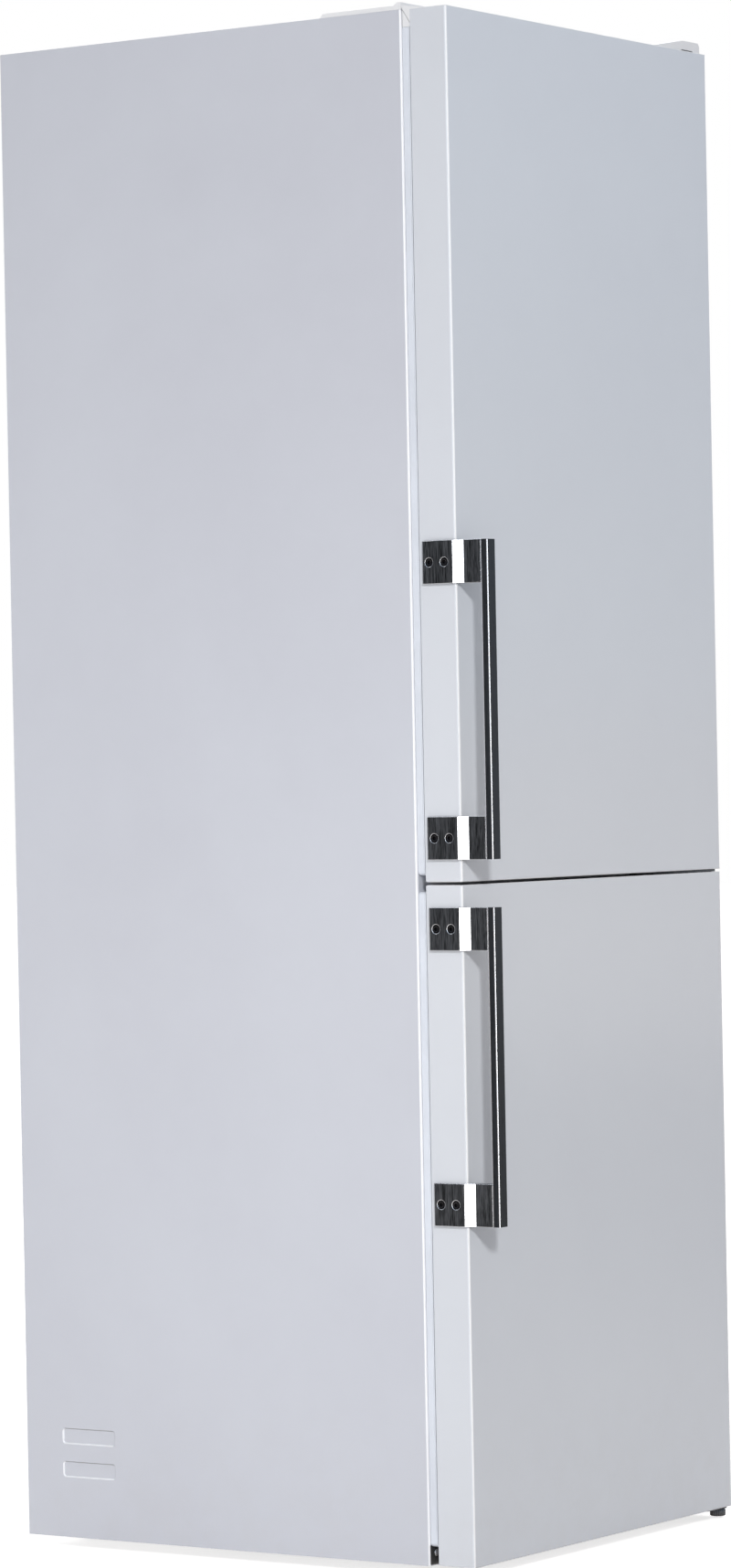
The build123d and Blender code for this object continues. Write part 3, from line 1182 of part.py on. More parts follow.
# Condenser on the back: a long coil of tube, and the wires held across it by straps
cond_y = y_back + CONDENSER_STANDOFF
cond_half = inside - CONDENSER_SIDE_GAP - CONDENSER_RETURN
return_x = inside - CONDENSER_SIDE_GAP
cond_z = z_bay + CONDENSER_RISE
cond_top = cond_z + (CONDENSER_PASSES - 1) * CONDENSER_PITCH
drier_top = stub_z + DRIER_LENGTH + 2 * DRIER_NECK
tail_z = stub_z + CONDENSER_TAIL
with BuildPart() as condenser:
    turns = [(stub_x[1], cond_y, tail_z), (stub_x[1], cond_y, cond_z)]
    for step in range(CONDENSER_PASSES):
        end = cond_half if step % 2 else -cond_half
        level = cond_z + step * CONDENSER_PITCH
        turns.append((end, cond_y, level))
        turns.append((end, cond_y, level + CONDENSER_PITCH))
    turns = turns[:-2] + [(return_x, cond_y, cond_top), (return_x, cond_y, drier_top)]
    serpentine(turns, CONDENSER_PITCH * BEND_SHARE, CONDENSER_TUBE_RADIUS)
    wire_y = cond_y + CONDENSER_TUBE_RADIUS + WIRE_GAP + WIRE_RADIUS
    wire_z = cond_z - STRAP_HEIGHT
    wire_length = cond_top - cond_z + 2 * STRAP_HEIGHT
    wire_reach = cond_half - STRAP_HEIGHT
    for step in range(WIRE_COUNT):
        x = -wire_reach + 2 * wire_reach * step / (WIRE_COUNT - 1)
        bored((x, wire_y, wire_z), WIRE_RADIUS, wire_length)
    for pass_number in (0, CONDENSER_PASSES // 2, CONDENSER_PASSES - 2):
        middle = cond_z + (pass_number + 0.5) * CONDENSER_PITCH
        strap_z = (middle - STRAP_HEIGHT / 2, middle + STRAP_HEIGHT / 2)
        slab(both_ways(wire_reach + STRAP_ARM / 2), (wire_y, wire_y + STRAP_SHEET), strap_z)
        for side in (-1, 1):
            arm = sorted((side * wire_reach, side * (wire_reach - STRAP_ARM)))
            slab(arm, (y_back, wire_y + STRAP_SHEET), strap_z)
save(condenser, "condenser")

# Copper pipes in the bay, with the filter drier at the end of the condenser
drier_z = drier_top - DRIER_NECK - DRIER_LENGTH
drier_foot = drier_z - DRIER_NECK
pipe_routes = (
    ((stub_x[1], stub_y, stub_z), (stub_x[1], cond_y, stub_z), (stub_x[1], cond_y, tail_z)),
    (
        (return_x, cond_y, drier_foot),
        (return_x, cond_y, drier_foot - PIPE_DROP),
        (return_x, y_bay, drier_foot - PIPE_DROP),
    ),
    (
        (stub_x[0], stub_y, stub_z),
        (stub_x[0], cond_y, stub_z),
        (stub_x[0], cond_y, z_bay - PIPE_HEADROOM),
        (stub_x[0], y_bay, z_bay - PIPE_HEADROOM),
    ),
)
with BuildPart() as pipework:
    bored((return_x, cond_y, drier_z), DRIER_RADIUS, DRIER_LENGTH)
    fillet(pipework.edges().filter_by(GeomType.CIRCLE), DRIER_RADIUS / 3)
    for start in (drier_foot, drier_z + DRIER_LENGTH):
        bored((return_x, cond_y, start), DRIER_NECK_RADIUS, DRIER_NECK)
    for route in pipe_routes:
        serpentine(route, PIPE_BEND, PIPE_RADIUS)
save(pipework, "pipework")

# Gland where a mains cord would leave the bay
with BuildPart() as cord_gland:
    bored((gland_x, lip_y[0] - GLAND_LENGTH / 2, gland_z), GLAND_RADIUS, GLAND_LENGTH, "Y")
    bored((gland_x, lip_y[1], gland_z), GLAND_FLANGE_RADIUS, CHEEK_SHEET, "Y")
    bore_start = (gland_x, lip_y[0] - GLAND_LENGTH / 2, gland_z)
    bored(bore_start, GLAND_BORE_RADIUS, 2 * GLAND_LENGTH, "Y", Mode.SUBTRACT)
save(cord_gland, "cord_gland")
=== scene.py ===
"""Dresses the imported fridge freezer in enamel, moulded plastic, metal, glass and rubber.

Every piece is built in millimetres of the part's own frame and rides on one of its bodies.
"""

import logging
import math
from collections.abc import Callable, Mapping, Sequence
from dataclasses import dataclass
from enum import Enum

import bmesh
import bpy
from mathutils import Matrix, Vector


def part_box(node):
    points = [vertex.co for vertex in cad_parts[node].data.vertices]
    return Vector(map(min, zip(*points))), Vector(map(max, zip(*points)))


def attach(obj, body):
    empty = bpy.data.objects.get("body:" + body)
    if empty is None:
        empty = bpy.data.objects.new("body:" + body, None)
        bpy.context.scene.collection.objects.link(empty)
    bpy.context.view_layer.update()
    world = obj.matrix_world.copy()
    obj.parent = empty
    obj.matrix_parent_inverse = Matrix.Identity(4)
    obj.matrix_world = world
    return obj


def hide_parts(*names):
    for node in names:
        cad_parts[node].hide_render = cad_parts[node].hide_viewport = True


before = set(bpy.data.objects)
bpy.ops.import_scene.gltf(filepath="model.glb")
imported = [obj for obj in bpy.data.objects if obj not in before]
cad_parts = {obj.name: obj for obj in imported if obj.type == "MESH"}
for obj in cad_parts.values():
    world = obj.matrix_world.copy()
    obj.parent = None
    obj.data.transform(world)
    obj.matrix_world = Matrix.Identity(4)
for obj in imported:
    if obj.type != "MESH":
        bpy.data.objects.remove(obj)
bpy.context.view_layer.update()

LOG = logging.getLogger("fridge_freezer")
MM = 0.001
WHITE = (1.0, 1.0, 1.0)

Point = tuple[float, float, float]
Pair = tuple[float, float]
Colour = tuple[float, float, float]
Material = bpy.types.Material
Socket = bpy.types.NodeSocket
Sockets = Mapping[str, Socket]
Values = Mapping[str | int, object]
Reach = Callable[[int, float], float]


class Axis(Enum):
    """The direction that a section is pushed along or turned about."""

    X = 0
    Y = 1
    Z = 2

    def place(self, along: float, across: Pair) -> Point:
        """Returns the point at a length along this axis and a pair across it, in x, y, z order."""
        u, v = across
        return {Axis.X: (along, u, v), Axis.Y: (u, along, v), Axis.Z: (u, v, along)}[self]


class Door(Enum):
    """The two doors, by the word that starts the names of their pieces."""

    UPPER = "upper"
    LOWER = "lower"

    @property
    def body(self) -> str:
        """The body that the door's pieces ride on."""
        return f"{self.value}_door"

    def node(self, piece: str) -> str:
        """Returns the full name of one of the door's pieces."""
        return f"{self.value}_{piece}"


# Mesh tools


class Shape:
    """A mesh in the making, in millimetres of the part's frame."""

    def __init__(self) -> None:
        """Starts with no points and no faces."""
        self.points: list[Point] = []
        self.faces: list[list[int]] = []
        self.finishes: list[int] = []

    def face(self, corners: Sequence[int], finish: int = 0) -> None:
        """Adds one face between points that are there already."""
        self.faces.append(list(corners))
        self.finishes.append(finish)

    def rings(self, rows: Sequence[Sequence[Point]], finish: int = 0, closed: bool = False) -> None:
        """Skins a row of rings that have the same number of points.

        Args:
            rows: the rings in order, each a list of points.
            finish: the number of the finish that the skin gets.
            closed: True where the last ring joins the first, and no end is capped.
        """
        start = len(self.points)
        count = len(rows[0])
        for row in rows:
            self.points.extend(row)
        pairs = len(rows) if closed else len(rows) - 1
        for step in range(pairs):
            low = start + step * count
            high = start + (step + 1) % len(rows) * count
            for corner in range(count):
                after = (corner + 1) % count
                self.face((low + corner, low + after, high + after, high + corner), finish)
        if not closed:
            self.face(range(start, start + count), finish)
            self.face(range(start + (len(rows) - 1) * count, start + len(rows) * count), finish)

    def prism(
        self,
        outline: Sequence[Pair],
        span: Pair,
        axis: Axis,
        finish: int = 0,
        sides: Sequence[int] | None = None,
    ) -> None:
        """Pushes an outline along an axis.

        Args:
            outline: the corners of the section, across the axis.
            span: where the push starts and ends.
            axis: the direction of the push.
            finish: the finish of the ends, and of the sides that have none of their own.
            sides: a finish for each side, in the outline's order.
        """
        start = len(self.points)
        count = len(outline)
        for along in span:
            self.points.extend(axis.place(along, corner) for corner in outline)
        for corner in range(count):
            after = (corner + 1) % count
            own = sides[corner] if sides else finish
            self.face((start + corner, start + after, start + count + after, start + count + corner), own)
        self.face(range(start, start + count), finish)
        self.face(range(start + count, start + 2 * count), finish)

    def block(self, low: Point, high: Point, finish: int = 0) -> None:
        """Adds a straight block between two corners."""
        outline = [(low[0], low[1]), (high[0], low[1]), (high[0], high[1]), (low[0], high[1])]
        self.prism(outline, (low[2], high[2]), Axis.Z, finish)

    def lathe(
        self,
        profile: Sequence[Pair],
        centre: Point,
        axis: Axis,
        sides: int = 48,
        finish: int = 0,
        reach: Reach | None = None,
        closed: bool = False,
    ) -> None:
        """Turns a profile about an axis through a centre.

        Args:
            profile: radius and height pairs, from one end to the other.
            centre: the point that the heights are counted from.
            axis: the direction that the heights are counted along.
            sides: how many points each ring has.
            finish: the number of the finish.
            reach: gives a share of the radius for a profile point's number and an angle, for
                flutes, flats and sockets.
            closed: True where the profile's last point joins its first, as on a wheel with a bore.
        """
        base = centre[axis.value]
        middle = [value for index, value in enumerate(centre) if index != axis.value]
        rows = []
        for number, (radius, height) in enumerate(profile):
            row = []
            for step in range(sides):
                angle = math.tau * step / sides
                own = radius * (reach(number, angle) if reach else 1.0)
                across = (middle[0] + own * math.cos(angle), middle[1] + own * math.sin(angle))
                row.append(axis.place(base + height, across))
            rows.append(row)
        self.rings(rows, finish, closed)

    def build(
        self, name: str, materials: Sequence[Material], easing: "Easing | None" = None
    ) -> bpy.types.Object:
        """Makes the Blender object.

        Args:
            name: the piece's name.
            materials: the finishes, in the order of their numbers.
            easing: how its edges are rounded, or None for edges that stay sharp.

        Returns:
            The object, linked to the scene.
        """
        mesh = bpy.data.meshes.new(name)
        mesh.from_pydata([[value * MM for value in point] for point in self.points], [], self.faces)
        for polygon, finish in zip(mesh.polygons, self.finishes):
            polygon.material_index = finish
        drawn = bmesh.new()
        drawn.from_mesh(mesh)
        bmesh.ops.recalc_face_normals(drawn, faces=drawn.faces)
        drawn.to_mesh(mesh)
        drawn.free()
        return dressed(name, mesh, materials, easing)


@dataclass(frozen=True)
class Easing:
    """How the edges of a piece are rounded.

    Attributes:
        width: the rounding's width in millimetres.
        segments: how many faces make the rounding.
        finish: the number of the finish that the rounding gets, or -1 for its neighbours' own.
        angle: the angle in degrees above which an edge counts.
    """

    width: float
    segments: int = 2
    finish: int = -1
    angle: float = 35.0


SMOOTH_BELOW = math.radians(35.0)
SAME_LEVEL = 0.05


def dressed(
    name: str, mesh: bpy.types.Mesh, materials: Sequence[Material], easing: Easing | None
) -> bpy.types.Object:
    """Links a mesh as an object, with its finishes, its smooth faces and its rounded edges.

    Args:
        name: the piece's name.
        mesh: its mesh, in metres.
        materials: the finishes, in the order of their numbers.
        easing: how its edges are rounded, or None.

    Returns:
        The object.
    """
    shaped = bmesh.new()
    shaped.from_mesh(mesh)
    for face in shaped.faces:
        face.smooth = True
    if easing is None:
        for edge in shaped.edges:
            edge.smooth = not (edge.is_manifold and edge.calc_face_angle() > SMOOTH_BELOW)
    shaped.to_mesh(mesh)
    shaped.free()
    for material in materials:
        mesh.materials.append(material)
    piece = bpy.data.objects.new(name, mesh)
    bpy.context.scene.collection.objects.link(piece)
    if easing:
        rounding = piece.modifiers.new("rounded edges", "BEVEL")
        rounding.width = easing.width * MM
        rounding.segments = easing.segments
        rounding.limit_method = "ANGLE"
        rounding.angle_limit = math.radians(easing.angle)
        rounding.harden_normals = True
        rounding.material = easing.finish
        shading = piece.modifiers.new("flat faces", "WEIGHTED_NORMAL")
        shading.weight = 100
        shading.keep_sharp = True
    return piece


def span_of(node: str) -> tuple[Point, Point]:
    """Returns a CAD node's lowest and highest corners in millimetres."""
    low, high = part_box(node)
    return tuple(value / MM for value in low), tuple(value / MM for value in high)


def middle_of(node: str) -> Point:
    """Returns the middle of a CAD node in millimetres."""
    low, high = span_of(node)
    return tuple((start + end) / 2 for start, end in zip(low, high))


def hexagon(angle: float) -> float:
    """Returns a hexagon's edge at an angle, as a share of its widest reach."""
    return math.cos(math.pi / 6) / math.cos(angle % (math.pi / 3) - math.pi / 6)


def toothed(teeth: int, depth: float, rings: Sequence[int]) -> Reach:
    """Cuts soft teeth into some of a turned shape's rings.

    Args:
        teeth: how many teeth go round.
        depth: their depth as a share of the radius.
        rings: the numbers of the profile points that have them.

    Returns:
        The reach to turn the shape with.
    """

    def reach(number: int, angle: float) -> float:
        """Returns a ring's share of its radius at an angle."""
        return 1.0 - depth * (0.5 + 0.5 * math.cos(teeth * angle)) if number in rings else 1.0

    return reach


def eased_disc(radius: float, tall: float, ease: float) -> list[Pair]:
    """Returns the profile of a disc with slanted rims."""
    return [(radius - ease, 0.0), (radius, ease), (radius, tall - ease), (radius - ease, tall)]


def upright_ribs(width: float, pitch: float, halves: Pair, faces: Pair, heights: Pair) -> Shape:
    """Stands a row of ribs about the middle of a front.

    Args:
        width: the width that the row may fill.
        pitch: the distance between two ribs.
        halves: half of a rib's width at its foot and at its tip.
        faces: where its foot and its tip lie along y.
        heights: its lowest and its highest level.

    Returns:
        The ribs.
    """
    (foot, tip), (near, far) = halves, faces
    shape = Shape()
    count = int(width // pitch)
    for step in range(count + 1):
        x = (step - count / 2) * pitch
        shape.prism([(x - foot, near), (x + foot, near), (x + tip, far), (x - tip, far)], heights, Axis.Z)
    return shape


def plain_mesh(node: str) -> bmesh.types.BMesh:
    """Returns a CAD node's mesh with its flat faces joined up again, ready to be reshaped."""
    solid = bmesh.new()
    solid.from_mesh(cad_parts[node].data)
    bmesh.ops.remove_doubles(solid, verts=solid.verts, dist=1e-5)
    bmesh.ops.dissolve_limit(solid, angle_limit=0.01, verts=solid.verts, edges=solid.edges)
    return solid


def eased_copy(
    node: str,
    name: str,
    materials: Sequence[Material],
    easing: Easing,
    finish_of: Callable[[bmesh.types.BMFace], int] | None = None,
    cutter: Shape | None = None,
) -> bpy.types.Object:
    """Copies a CAD node into a new piece with rounded edges.

    Args:
        node: the CAD node.
        name: the new piece's name.
        materials: its finishes.
        easing: how its edges are rounded.
        finish_of: gives each face the number of its finish.
        cutter: a shape that is cut out of the copy.

    Returns:
        The new piece.
    """
    solid = plain_mesh(node)
    mesh = bpy.data.meshes.new(name)
    solid.to_mesh(mesh)
    solid.free()
    if cutter:
        mesh = cut(mesh, cutter)
    marked = bmesh.new()
    marked.from_mesh(mesh)
    for face in marked.faces:
        face.material_index = finish_of(face) if finish_of else 0
    marked.to_mesh(mesh)
    marked.free()
    return dressed(name, mesh, materials, easing)


def cut(mesh: bpy.types.Mesh, cutter: Shape) -> bpy.types.Mesh:
    """Cuts a shape out of a mesh.

    Args:
        mesh: the mesh to cut.
        cutter: the shape to take away.

    Returns:
        The mesh that is left.
    """
    tool = cutter.build("cutter", [])
    block = bpy.data.objects.new("block", mesh)
    bpy.context.scene.collection.objects.link(block)
    taking = block.modifiers.new("cut", "BOOLEAN")
    taking.operation = "DIFFERENCE"
    taking.solver = "EXACT"
    taking.object = tool
    bpy.context.view_layer.update()
    shaped = block.evaluated_get(bpy.context.evaluated_depsgraph_get())
    left = bpy.data.meshes.new_from_object(shaped)
    for done in (block, tool):
        bpy.data.objects.remove(done)
    return left


def settle(piece: bpy.types.Object, body: str, slot: str, *nodes: str) -> bpy.types.Object:
    """Makes a piece ride on a body and hides the CAD nodes that it stands for.

    Args:
        piece: the piece.
        body: the body that it rides on.
        slot: the slot of the record that its finish belongs to; not used.
        nodes: the CAD nodes that it stands for.

    Returns:
        The piece.
    """
    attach(piece, body)
    if nodes:
        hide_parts(*nodes)
    LOG.info("%s rides on %s in place of %s", piece.name, body, ", ".join(nodes) or "nothing")
    return piece


def rounded(
    node: str,
    suffix: str,
    body: str,
    slot: str,
    materials: Sequence[Material],
    easing: Easing,
    finish_of: Callable[[bmesh.types.BMFace], int] | None = None,
    cutter: Shape | None = None,
) -> bpy.types.Object:
    """Puts a copy with rounded edges in a CAD node's place.

    Args:
        node: the CAD node.
        suffix: what the piece's name has after the node's.
        body: the body that it rides on.
        slot: the slot of the record that its finish belongs to.
        materials: its finishes.
        easing: how its edges are rounded.
        finish_of: gives each face the number of its finish.
        cutter: a shape that is cut out of the copy.

    Returns:
        The new piece.
    """
    piece = eased_copy(node, f"{node}_{suffix}", materials, easing, finish_of, cutter)
    return settle(piece, body, slot, node)


def paint(node: str, material: Material) -> None:
    """Gives a CAD node that stays in view its finish."""
    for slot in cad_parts[node].material_slots:
        slot.material = material
    LOG.info("%s keeps its own shape in %s", node, material.name)


def rounded_outline(low: Pair, high: Pair, radius: float, steps: int = 5) -> list[Pair]:
    """Returns the corners of a rectangle whose corners are arcs of the given radius."""
    corners = ((high[0], high[1], 0), (low[0], high[1], 1), (low[0], low[1], 2), (high[0], low[1], 3))
    outline = []
    for x, y, quarter in corners:
        middle = (
            x - math.copysign(radius, x - low[0] - 1e-6),
            y - math.copysign(radius, y - low[1] - 1e-6),
        )
        for step in range(steps + 1):
            turn = math.pi / 2 * (quarter + step / steps)
            outline.append((middle[0] + radius * math.cos(turn), middle[1] + radius * math.sin(turn)))
    return outline


# Effects that more than one finish uses


class NodeSheet:
    """A node tree with short calls to add and join its nodes."""

    def __init__(self, tree: bpy.types.NodeTree) -> None:
        """Keeps the tree that the nodes go into."""
        self.tree = tree

    def add(self, kind: str, values: Values | None = None, **settings: object) -> bpy.types.Node:
        """Adds a node.

        Args:
            kind: the node's type, without its "ShaderNode".
            values: what its inputs are set or joined to.
            settings: what its own choices are set to.

        Returns:
            The node.
        """
        node = self.tree.nodes.new(f"ShaderNode{kind}")
        for key, value in settings.items():
            setattr(node, key, value)
        self.feed(node, values or {})
        return node

    def feed(self, node: bpy.types.Node, values: Values) -> None:
        """Sets or joins a node's inputs, by their names or numbers."""
        for key, value in values.items():
            if isinstance(value, Socket):
                self.tree.links.new(value, node.inputs[key])
            else:
                node.inputs[key].default_value = value

    def place(self) -> Socket:
        """Returns where on the piece a point lies."""
        return self.add("TexCoord").outputs["Object"]

    def normal(self) -> Socket:
        """Returns the way that the surface looks."""
        return self.add("NewGeometry").outputs["Normal"]

    def parts(self, vector: Socket) -> Sockets:
        """Returns a vector's three numbers by name."""
        return self.add("SeparateXYZ", {0: vector}).outputs

    def rays(self) -> tuple[Socket, Socket]:
        """Returns a mask of what is seen, straight or through glass, and one of what gloss mirrors."""
        rays = self.add("LightPath").outputs
        seen = self.maths("MAXIMUM", rays["Is Camera Ray"], rays["Is Transmission Ray"])
        return seen, rays["Is Glossy Ray"]

    def noise(
        self, vector: Socket, scale: Socket | float, detail: Socket | float, **values: float
    ) -> Socket:
        """Returns a cloudy noise over a vector."""
        values = {"Vector": vector, "Scale": scale, "Detail": detail, **values}
        return self.add("TexNoise", values).outputs["Fac"]

    def maths(
        self, operation: str, first: Socket | float, second: Socket | float = 0.0, clamp: bool = False
    ) -> Socket:
        """Adds one step of arithmetic and returns its result."""
        return self.add("Math", {0: first, 1: second}, operation=operation, use_clamp=clamp).outputs[0]

    def weigh(self, first: Socket, second: Socket, share: float) -> Socket:
        """Returns a share of one value plus the rest of another."""
        return self.maths(
            "ADD", self.maths("MULTIPLY", first, share), self.maths("MULTIPLY", second, 1.0 - share)
        )

    def spread(
        self, value: Socket, low: float, high: float, to_low: float = 0.0, to_high: float = 1.0
    ) -> Socket:
        """Stretches a range of values to another range, softly at both ends, and returns the result."""
        values = {"Value": value, "From Min": low, "From Max": high, "To Min": to_low, "To Max": to_high}
        return self.add("MapRange", values, interpolation_type="SMOOTHSTEP").outputs["Result"]

    def ramp(self, value: Socket, stops: Sequence[tuple[float, Colour]]) -> Socket:
        """Turns a value into a colour that runs softly from stop to stop, and returns it."""
        low, high = stops[0][0], stops[-1][0]
        share = self.add("MapRange", {"Value": value, "From Min": low, "From Max": high})
        node = self.add("ValToRGB", {"Fac": share.outputs["Result"]})
        steps = node.color_ramp.elements
        while len(steps) < len(stops):
            steps.new(0.5)
        for step, (place, colour) in zip(steps, stops):
            step.position = (place - low) / (high - low)
            step.color = (*colour, 1.0)
        return node.outputs["Color"]

    def shaded(self, colour: Socket, share: float) -> Socket:
        """Returns a share of a colour's brightness."""
        return self.add("VectorMath", {0: colour, "Scale": share}, operation="SCALE").outputs[0]

    def blend(self, amount: Socket, first: Socket | Colour, second: Socket | Colour) -> Socket:
        """Mixes two colours by an amount and returns the result."""
        values = {"Factor": amount}
        for key, colour in ((6, first), (7, second)):
            values[key] = colour if isinstance(colour, Socket) else (*colour, 1.0)
        return self.add("Mix", values, data_type="RGBA").outputs[2]


class Effects:
    """The node groups that the finishes share, each built once."""

    def __init__(self) -> None:
        """Builds the groups."""
        self.mottle = self._mottle()
        self.grain = self._grain()
        self.rub = self._rub()
        self.dust = self._dust()
        self.scratches = self._scratches()

    def _start(
        self, name: str, takes: dict[str, tuple[str, object]], gives: dict[str, str]
    ) -> tuple[NodeSheet, Sockets, bpy.types.Node]:
        """Starts a group.

        Args:
            name: the group's name.
            takes: each input's name, with its socket type and its usual value.
            gives: each output's name, with its socket type.

        Returns:
            The group's sheet, what it is given, and its output node.
        """
        tree = bpy.data.node_groups.new(name, "ShaderNodeTree")
        for label, (kind, value) in takes.items():
            socket = tree.interface.new_socket(label, in_out="INPUT", socket_type=kind)
            socket.default_value = value
        for label, kind in gives.items():
            tree.interface.new_socket(label, in_out="OUTPUT", socket_type=kind)
        given, made = tree.nodes.new("NodeGroupInput"), tree.nodes.new("NodeGroupOutput")
        return NodeSheet(tree), given.outputs, made

    def _mottle(self) -> bpy.types.NodeTree:
        """Builds the slow drift between two shades that no painted or moulded face is without."""
        takes = {
            "Main": ("NodeSocketColor", (1, 1, 1, 1)),
            "Drift": ("NodeSocketColor", (1, 1, 1, 1)),
            "Scale": ("NodeSocketFloat", 3.0),
        }
        sheet, given, made = self._start("slow_mottle", takes, {"Colour": "NodeSocketColor"})
        place, scale = sheet.place(), given["Scale"]
        broad = sheet.noise(place, scale, 3.0, Roughness=0.55, Distortion=0.6)
        fine = sheet.noise(place, sheet.maths("MULTIPLY", scale, 9.0), 2.0, Roughness=0.6)
        amount = sheet.spread(sheet.weigh(broad, fine, 0.8), 0.3, 0.7)
        sheet.feed(made, {"Colour": sheet.blend(amount, given["Main"], given["Drift"])})
        return sheet.tree

    def _grain(self) -> bpy.types.NodeTree:
        """Builds a fine height that can be drawn out along an axis, for peel, moulded grain and brushing."""
        takes = {"Scale": ("NodeSocketVector", (400, 400, 400)), "Detail": ("NodeSocketFloat", 2.0)}
        gives = {"Height": "NodeSocketFloat", "Mask": "NodeSocketFloat"}
        sheet, given, made = self._start("fine_grain", takes, gives)
        scaled = sheet.add("VectorMath", {0: sheet.place(), 1: given["Scale"]}, operation="MULTIPLY")
        height = sheet.noise(scaled.outputs[0], 1.0, given["Detail"], Roughness=0.6)
        sheet.feed(made, {"Height": height, "Mask": sheet.spread(height, 0.35, 0.65)})
        return sheet.tree

    def _rub(self) -> bpy.types.NodeTree:
        """Builds a mask of the edges that hands and cloths rub."""
        takes = {"Width": ("NodeSocketFloat", 0.001), "Gain": ("NodeSocketFloat", 3.0)}
        sheet, given, made = self._start("rubbed_edges", takes, {"Mask": "NodeSocketFloat"})
        softened = sheet.add("Bevel", {"Radius": given["Width"]}, samples=4).outputs["Normal"]
        lean = sheet.add("VectorMath", {0: softened, 1: sheet.normal()}, operation="DOT_PRODUCT")
        away = sheet.maths("SUBTRACT", 1.0, lean.outputs["Value"], clamp=True)
        uneven = sheet.spread(sheet.noise(sheet.place(), 90.0, 3.0), 0.3, 0.65, 0.2, 1.0)
        gained = sheet.maths("MULTIPLY", away, given["Gain"], clamp=True)
        sheet.feed(made, {"Mask": sheet.maths("MULTIPLY", gained, uneven)})
        return sheet.tree

    def _dust(self) -> bpy.types.NodeTree:
        """Builds a mask of the dust that lies on tops and gathers close to the floor."""
        takes = {"Amount": ("NodeSocketFloat", 0.2), "Reach": ("NodeSocketFloat", 0.3)}
        sheet, given, made = self._start("settled_dust", takes, {"Mask": "NodeSocketFloat"})
        place = sheet.place()
        tops = sheet.spread(sheet.parts(sheet.normal())["Z"], 0.3, 0.9)
        near = sheet.maths("DIVIDE", sheet.parts(place)["Z"], given["Reach"])
        low = sheet.maths("SUBTRACT", 1.0, near, clamp=True)
        patches = sheet.noise(place, 26.0, 5.0, Roughness=0.65)
        where = sheet.maths("ADD", tops, sheet.maths("MULTIPLY", low, 0.6), clamp=True)
        uneven = sheet.maths("MULTIPLY", where, sheet.spread(patches, 0.35, 0.7))
        sheet.feed(made, {"Mask": sheet.maths("MULTIPLY", uneven, given["Amount"])})
        return sheet.tree

    def _scratches(self) -> bpy.types.NodeTree:
        """Builds a mask of hairline scratches that cross a face at two slants."""
        takes = {"Scale": ("NodeSocketFloat", 14.0), "Amount": ("NodeSocketFloat", 0.3)}
        sheet, given, made = self._start("hairline_scratches", takes, {"Mask": "NodeSocketFloat"})
        place = sheet.place()
        lines = []
        for turn, stretch in ((0.5, (1.0, 1.0, 0.05)), (-0.9, (0.06, 1.0, 1.0))):
            slant = {"Vector": place, "Rotation": (turn, turn / 2, turn), "Scale": stretch}
            turned = sheet.add("Mapping", slant).outputs["Vector"]
            grid = {"Vector": turned, "Scale": given["Scale"]}
            cells = sheet.add("TexVoronoi", grid, feature="DISTANCE_TO_EDGE")
            lines.append(sheet.spread(cells.outputs["Distance"], 0.0, 0.006, 1.0, 0.0))
        some = sheet.spread(sheet.noise(place, 7.0, 2.0), 0.5, 0.62)
        both = sheet.maths("MULTIPLY", sheet.maths("MAXIMUM", *lines), some)
        sheet.feed(made, {"Mask": sheet.maths("MULTIPLY", both, given["Amount"])})
        return sheet.tree


class MaterialSheet(NodeSheet):
    """A new material with one Principled shader, which stays in the material itself."""

    def __init__(self, name: str, effects: Effects, **uniform: object) -> None:
        """Makes the material and sets what is the same all over it.

        Args:
            name: the material's name.
            effects: the shared groups.
            uniform: the shader's sockets, by name with _ for a space, and their values.
        """
        self.material = bpy.data.materials.new(name)
        self.material.use_nodes = True
        super().__init__(self.material.node_tree)
        self.effects = effects
        self.shader = self.tree.nodes["Principled BSDF"]
        self.feed(self.shader, {key.replace("_", " "): value for key, value in uniform.items()})

    def effect(self, group: bpy.types.NodeTree, **values: object) -> Sockets:
        """Places one of the shared groups.

        Args:
            group: the group.
            values: what its inputs are set to.

        Returns:
            What the group gives.
        """
        return self.add("Group", values, node_tree=group).outputs

    def mottled(self, main: Colour, drift: Colour, scale: float) -> Socket:
        """Returns a colour that drifts slowly between two shades."""
        group = self.effects.mottle
        return self.effect(group, Main=(*main, 1.0), Drift=(*drift, 1.0), Scale=scale)["Colour"]

    def colour(self, source: Socket) -> None:
        """Feeds the shader's colour."""
        self.feed(self.shader, {"Base Color": source})

    def dusted(self, shades: Socket, amount: float, reach: float, dust: Colour) -> Socket:
        """Colours the surface.

        Args:
            shades: its own colour.
            amount: how dusty it is.
            reach: the height in metres up to which dust gathers.
            dust: the dust's colour.

        Returns:
            A mask of the dust.
        """
        mask = self.effect(self.effects.dust, Amount=amount, Reach=reach)["Mask"]
        self.colour(self.blend(mask, shades, dust))
        return mask

    def rough(self, mask: Socket, low: float, high: float) -> None:
        """Spreads the roughness between two values by a mask."""
        self.feed(self.shader, {"Roughness": self.spread(mask, 0.0, 1.0, low, high)})

    def bump(self, height: Socket, distance: float, strength: float) -> None:
        """Raises the surface by a height, with its distance in millimetres."""
        raised = self.add("Bump", {"Height": height, "Distance": distance * MM, "Strength": strength})
        self.feed(self.shader, {"Normal": raised.outputs["Normal"]})


# Finishes


@dataclass(frozen=True)
class Finish:
    """What every finish has.

    Attributes:
        name: the material's name.
        main: its colour.
    """

    name: str
    main: Colour

    def material(self, effects: Effects) -> Material:
        """Makes the material from the shared effects."""
        raise NotImplementedError


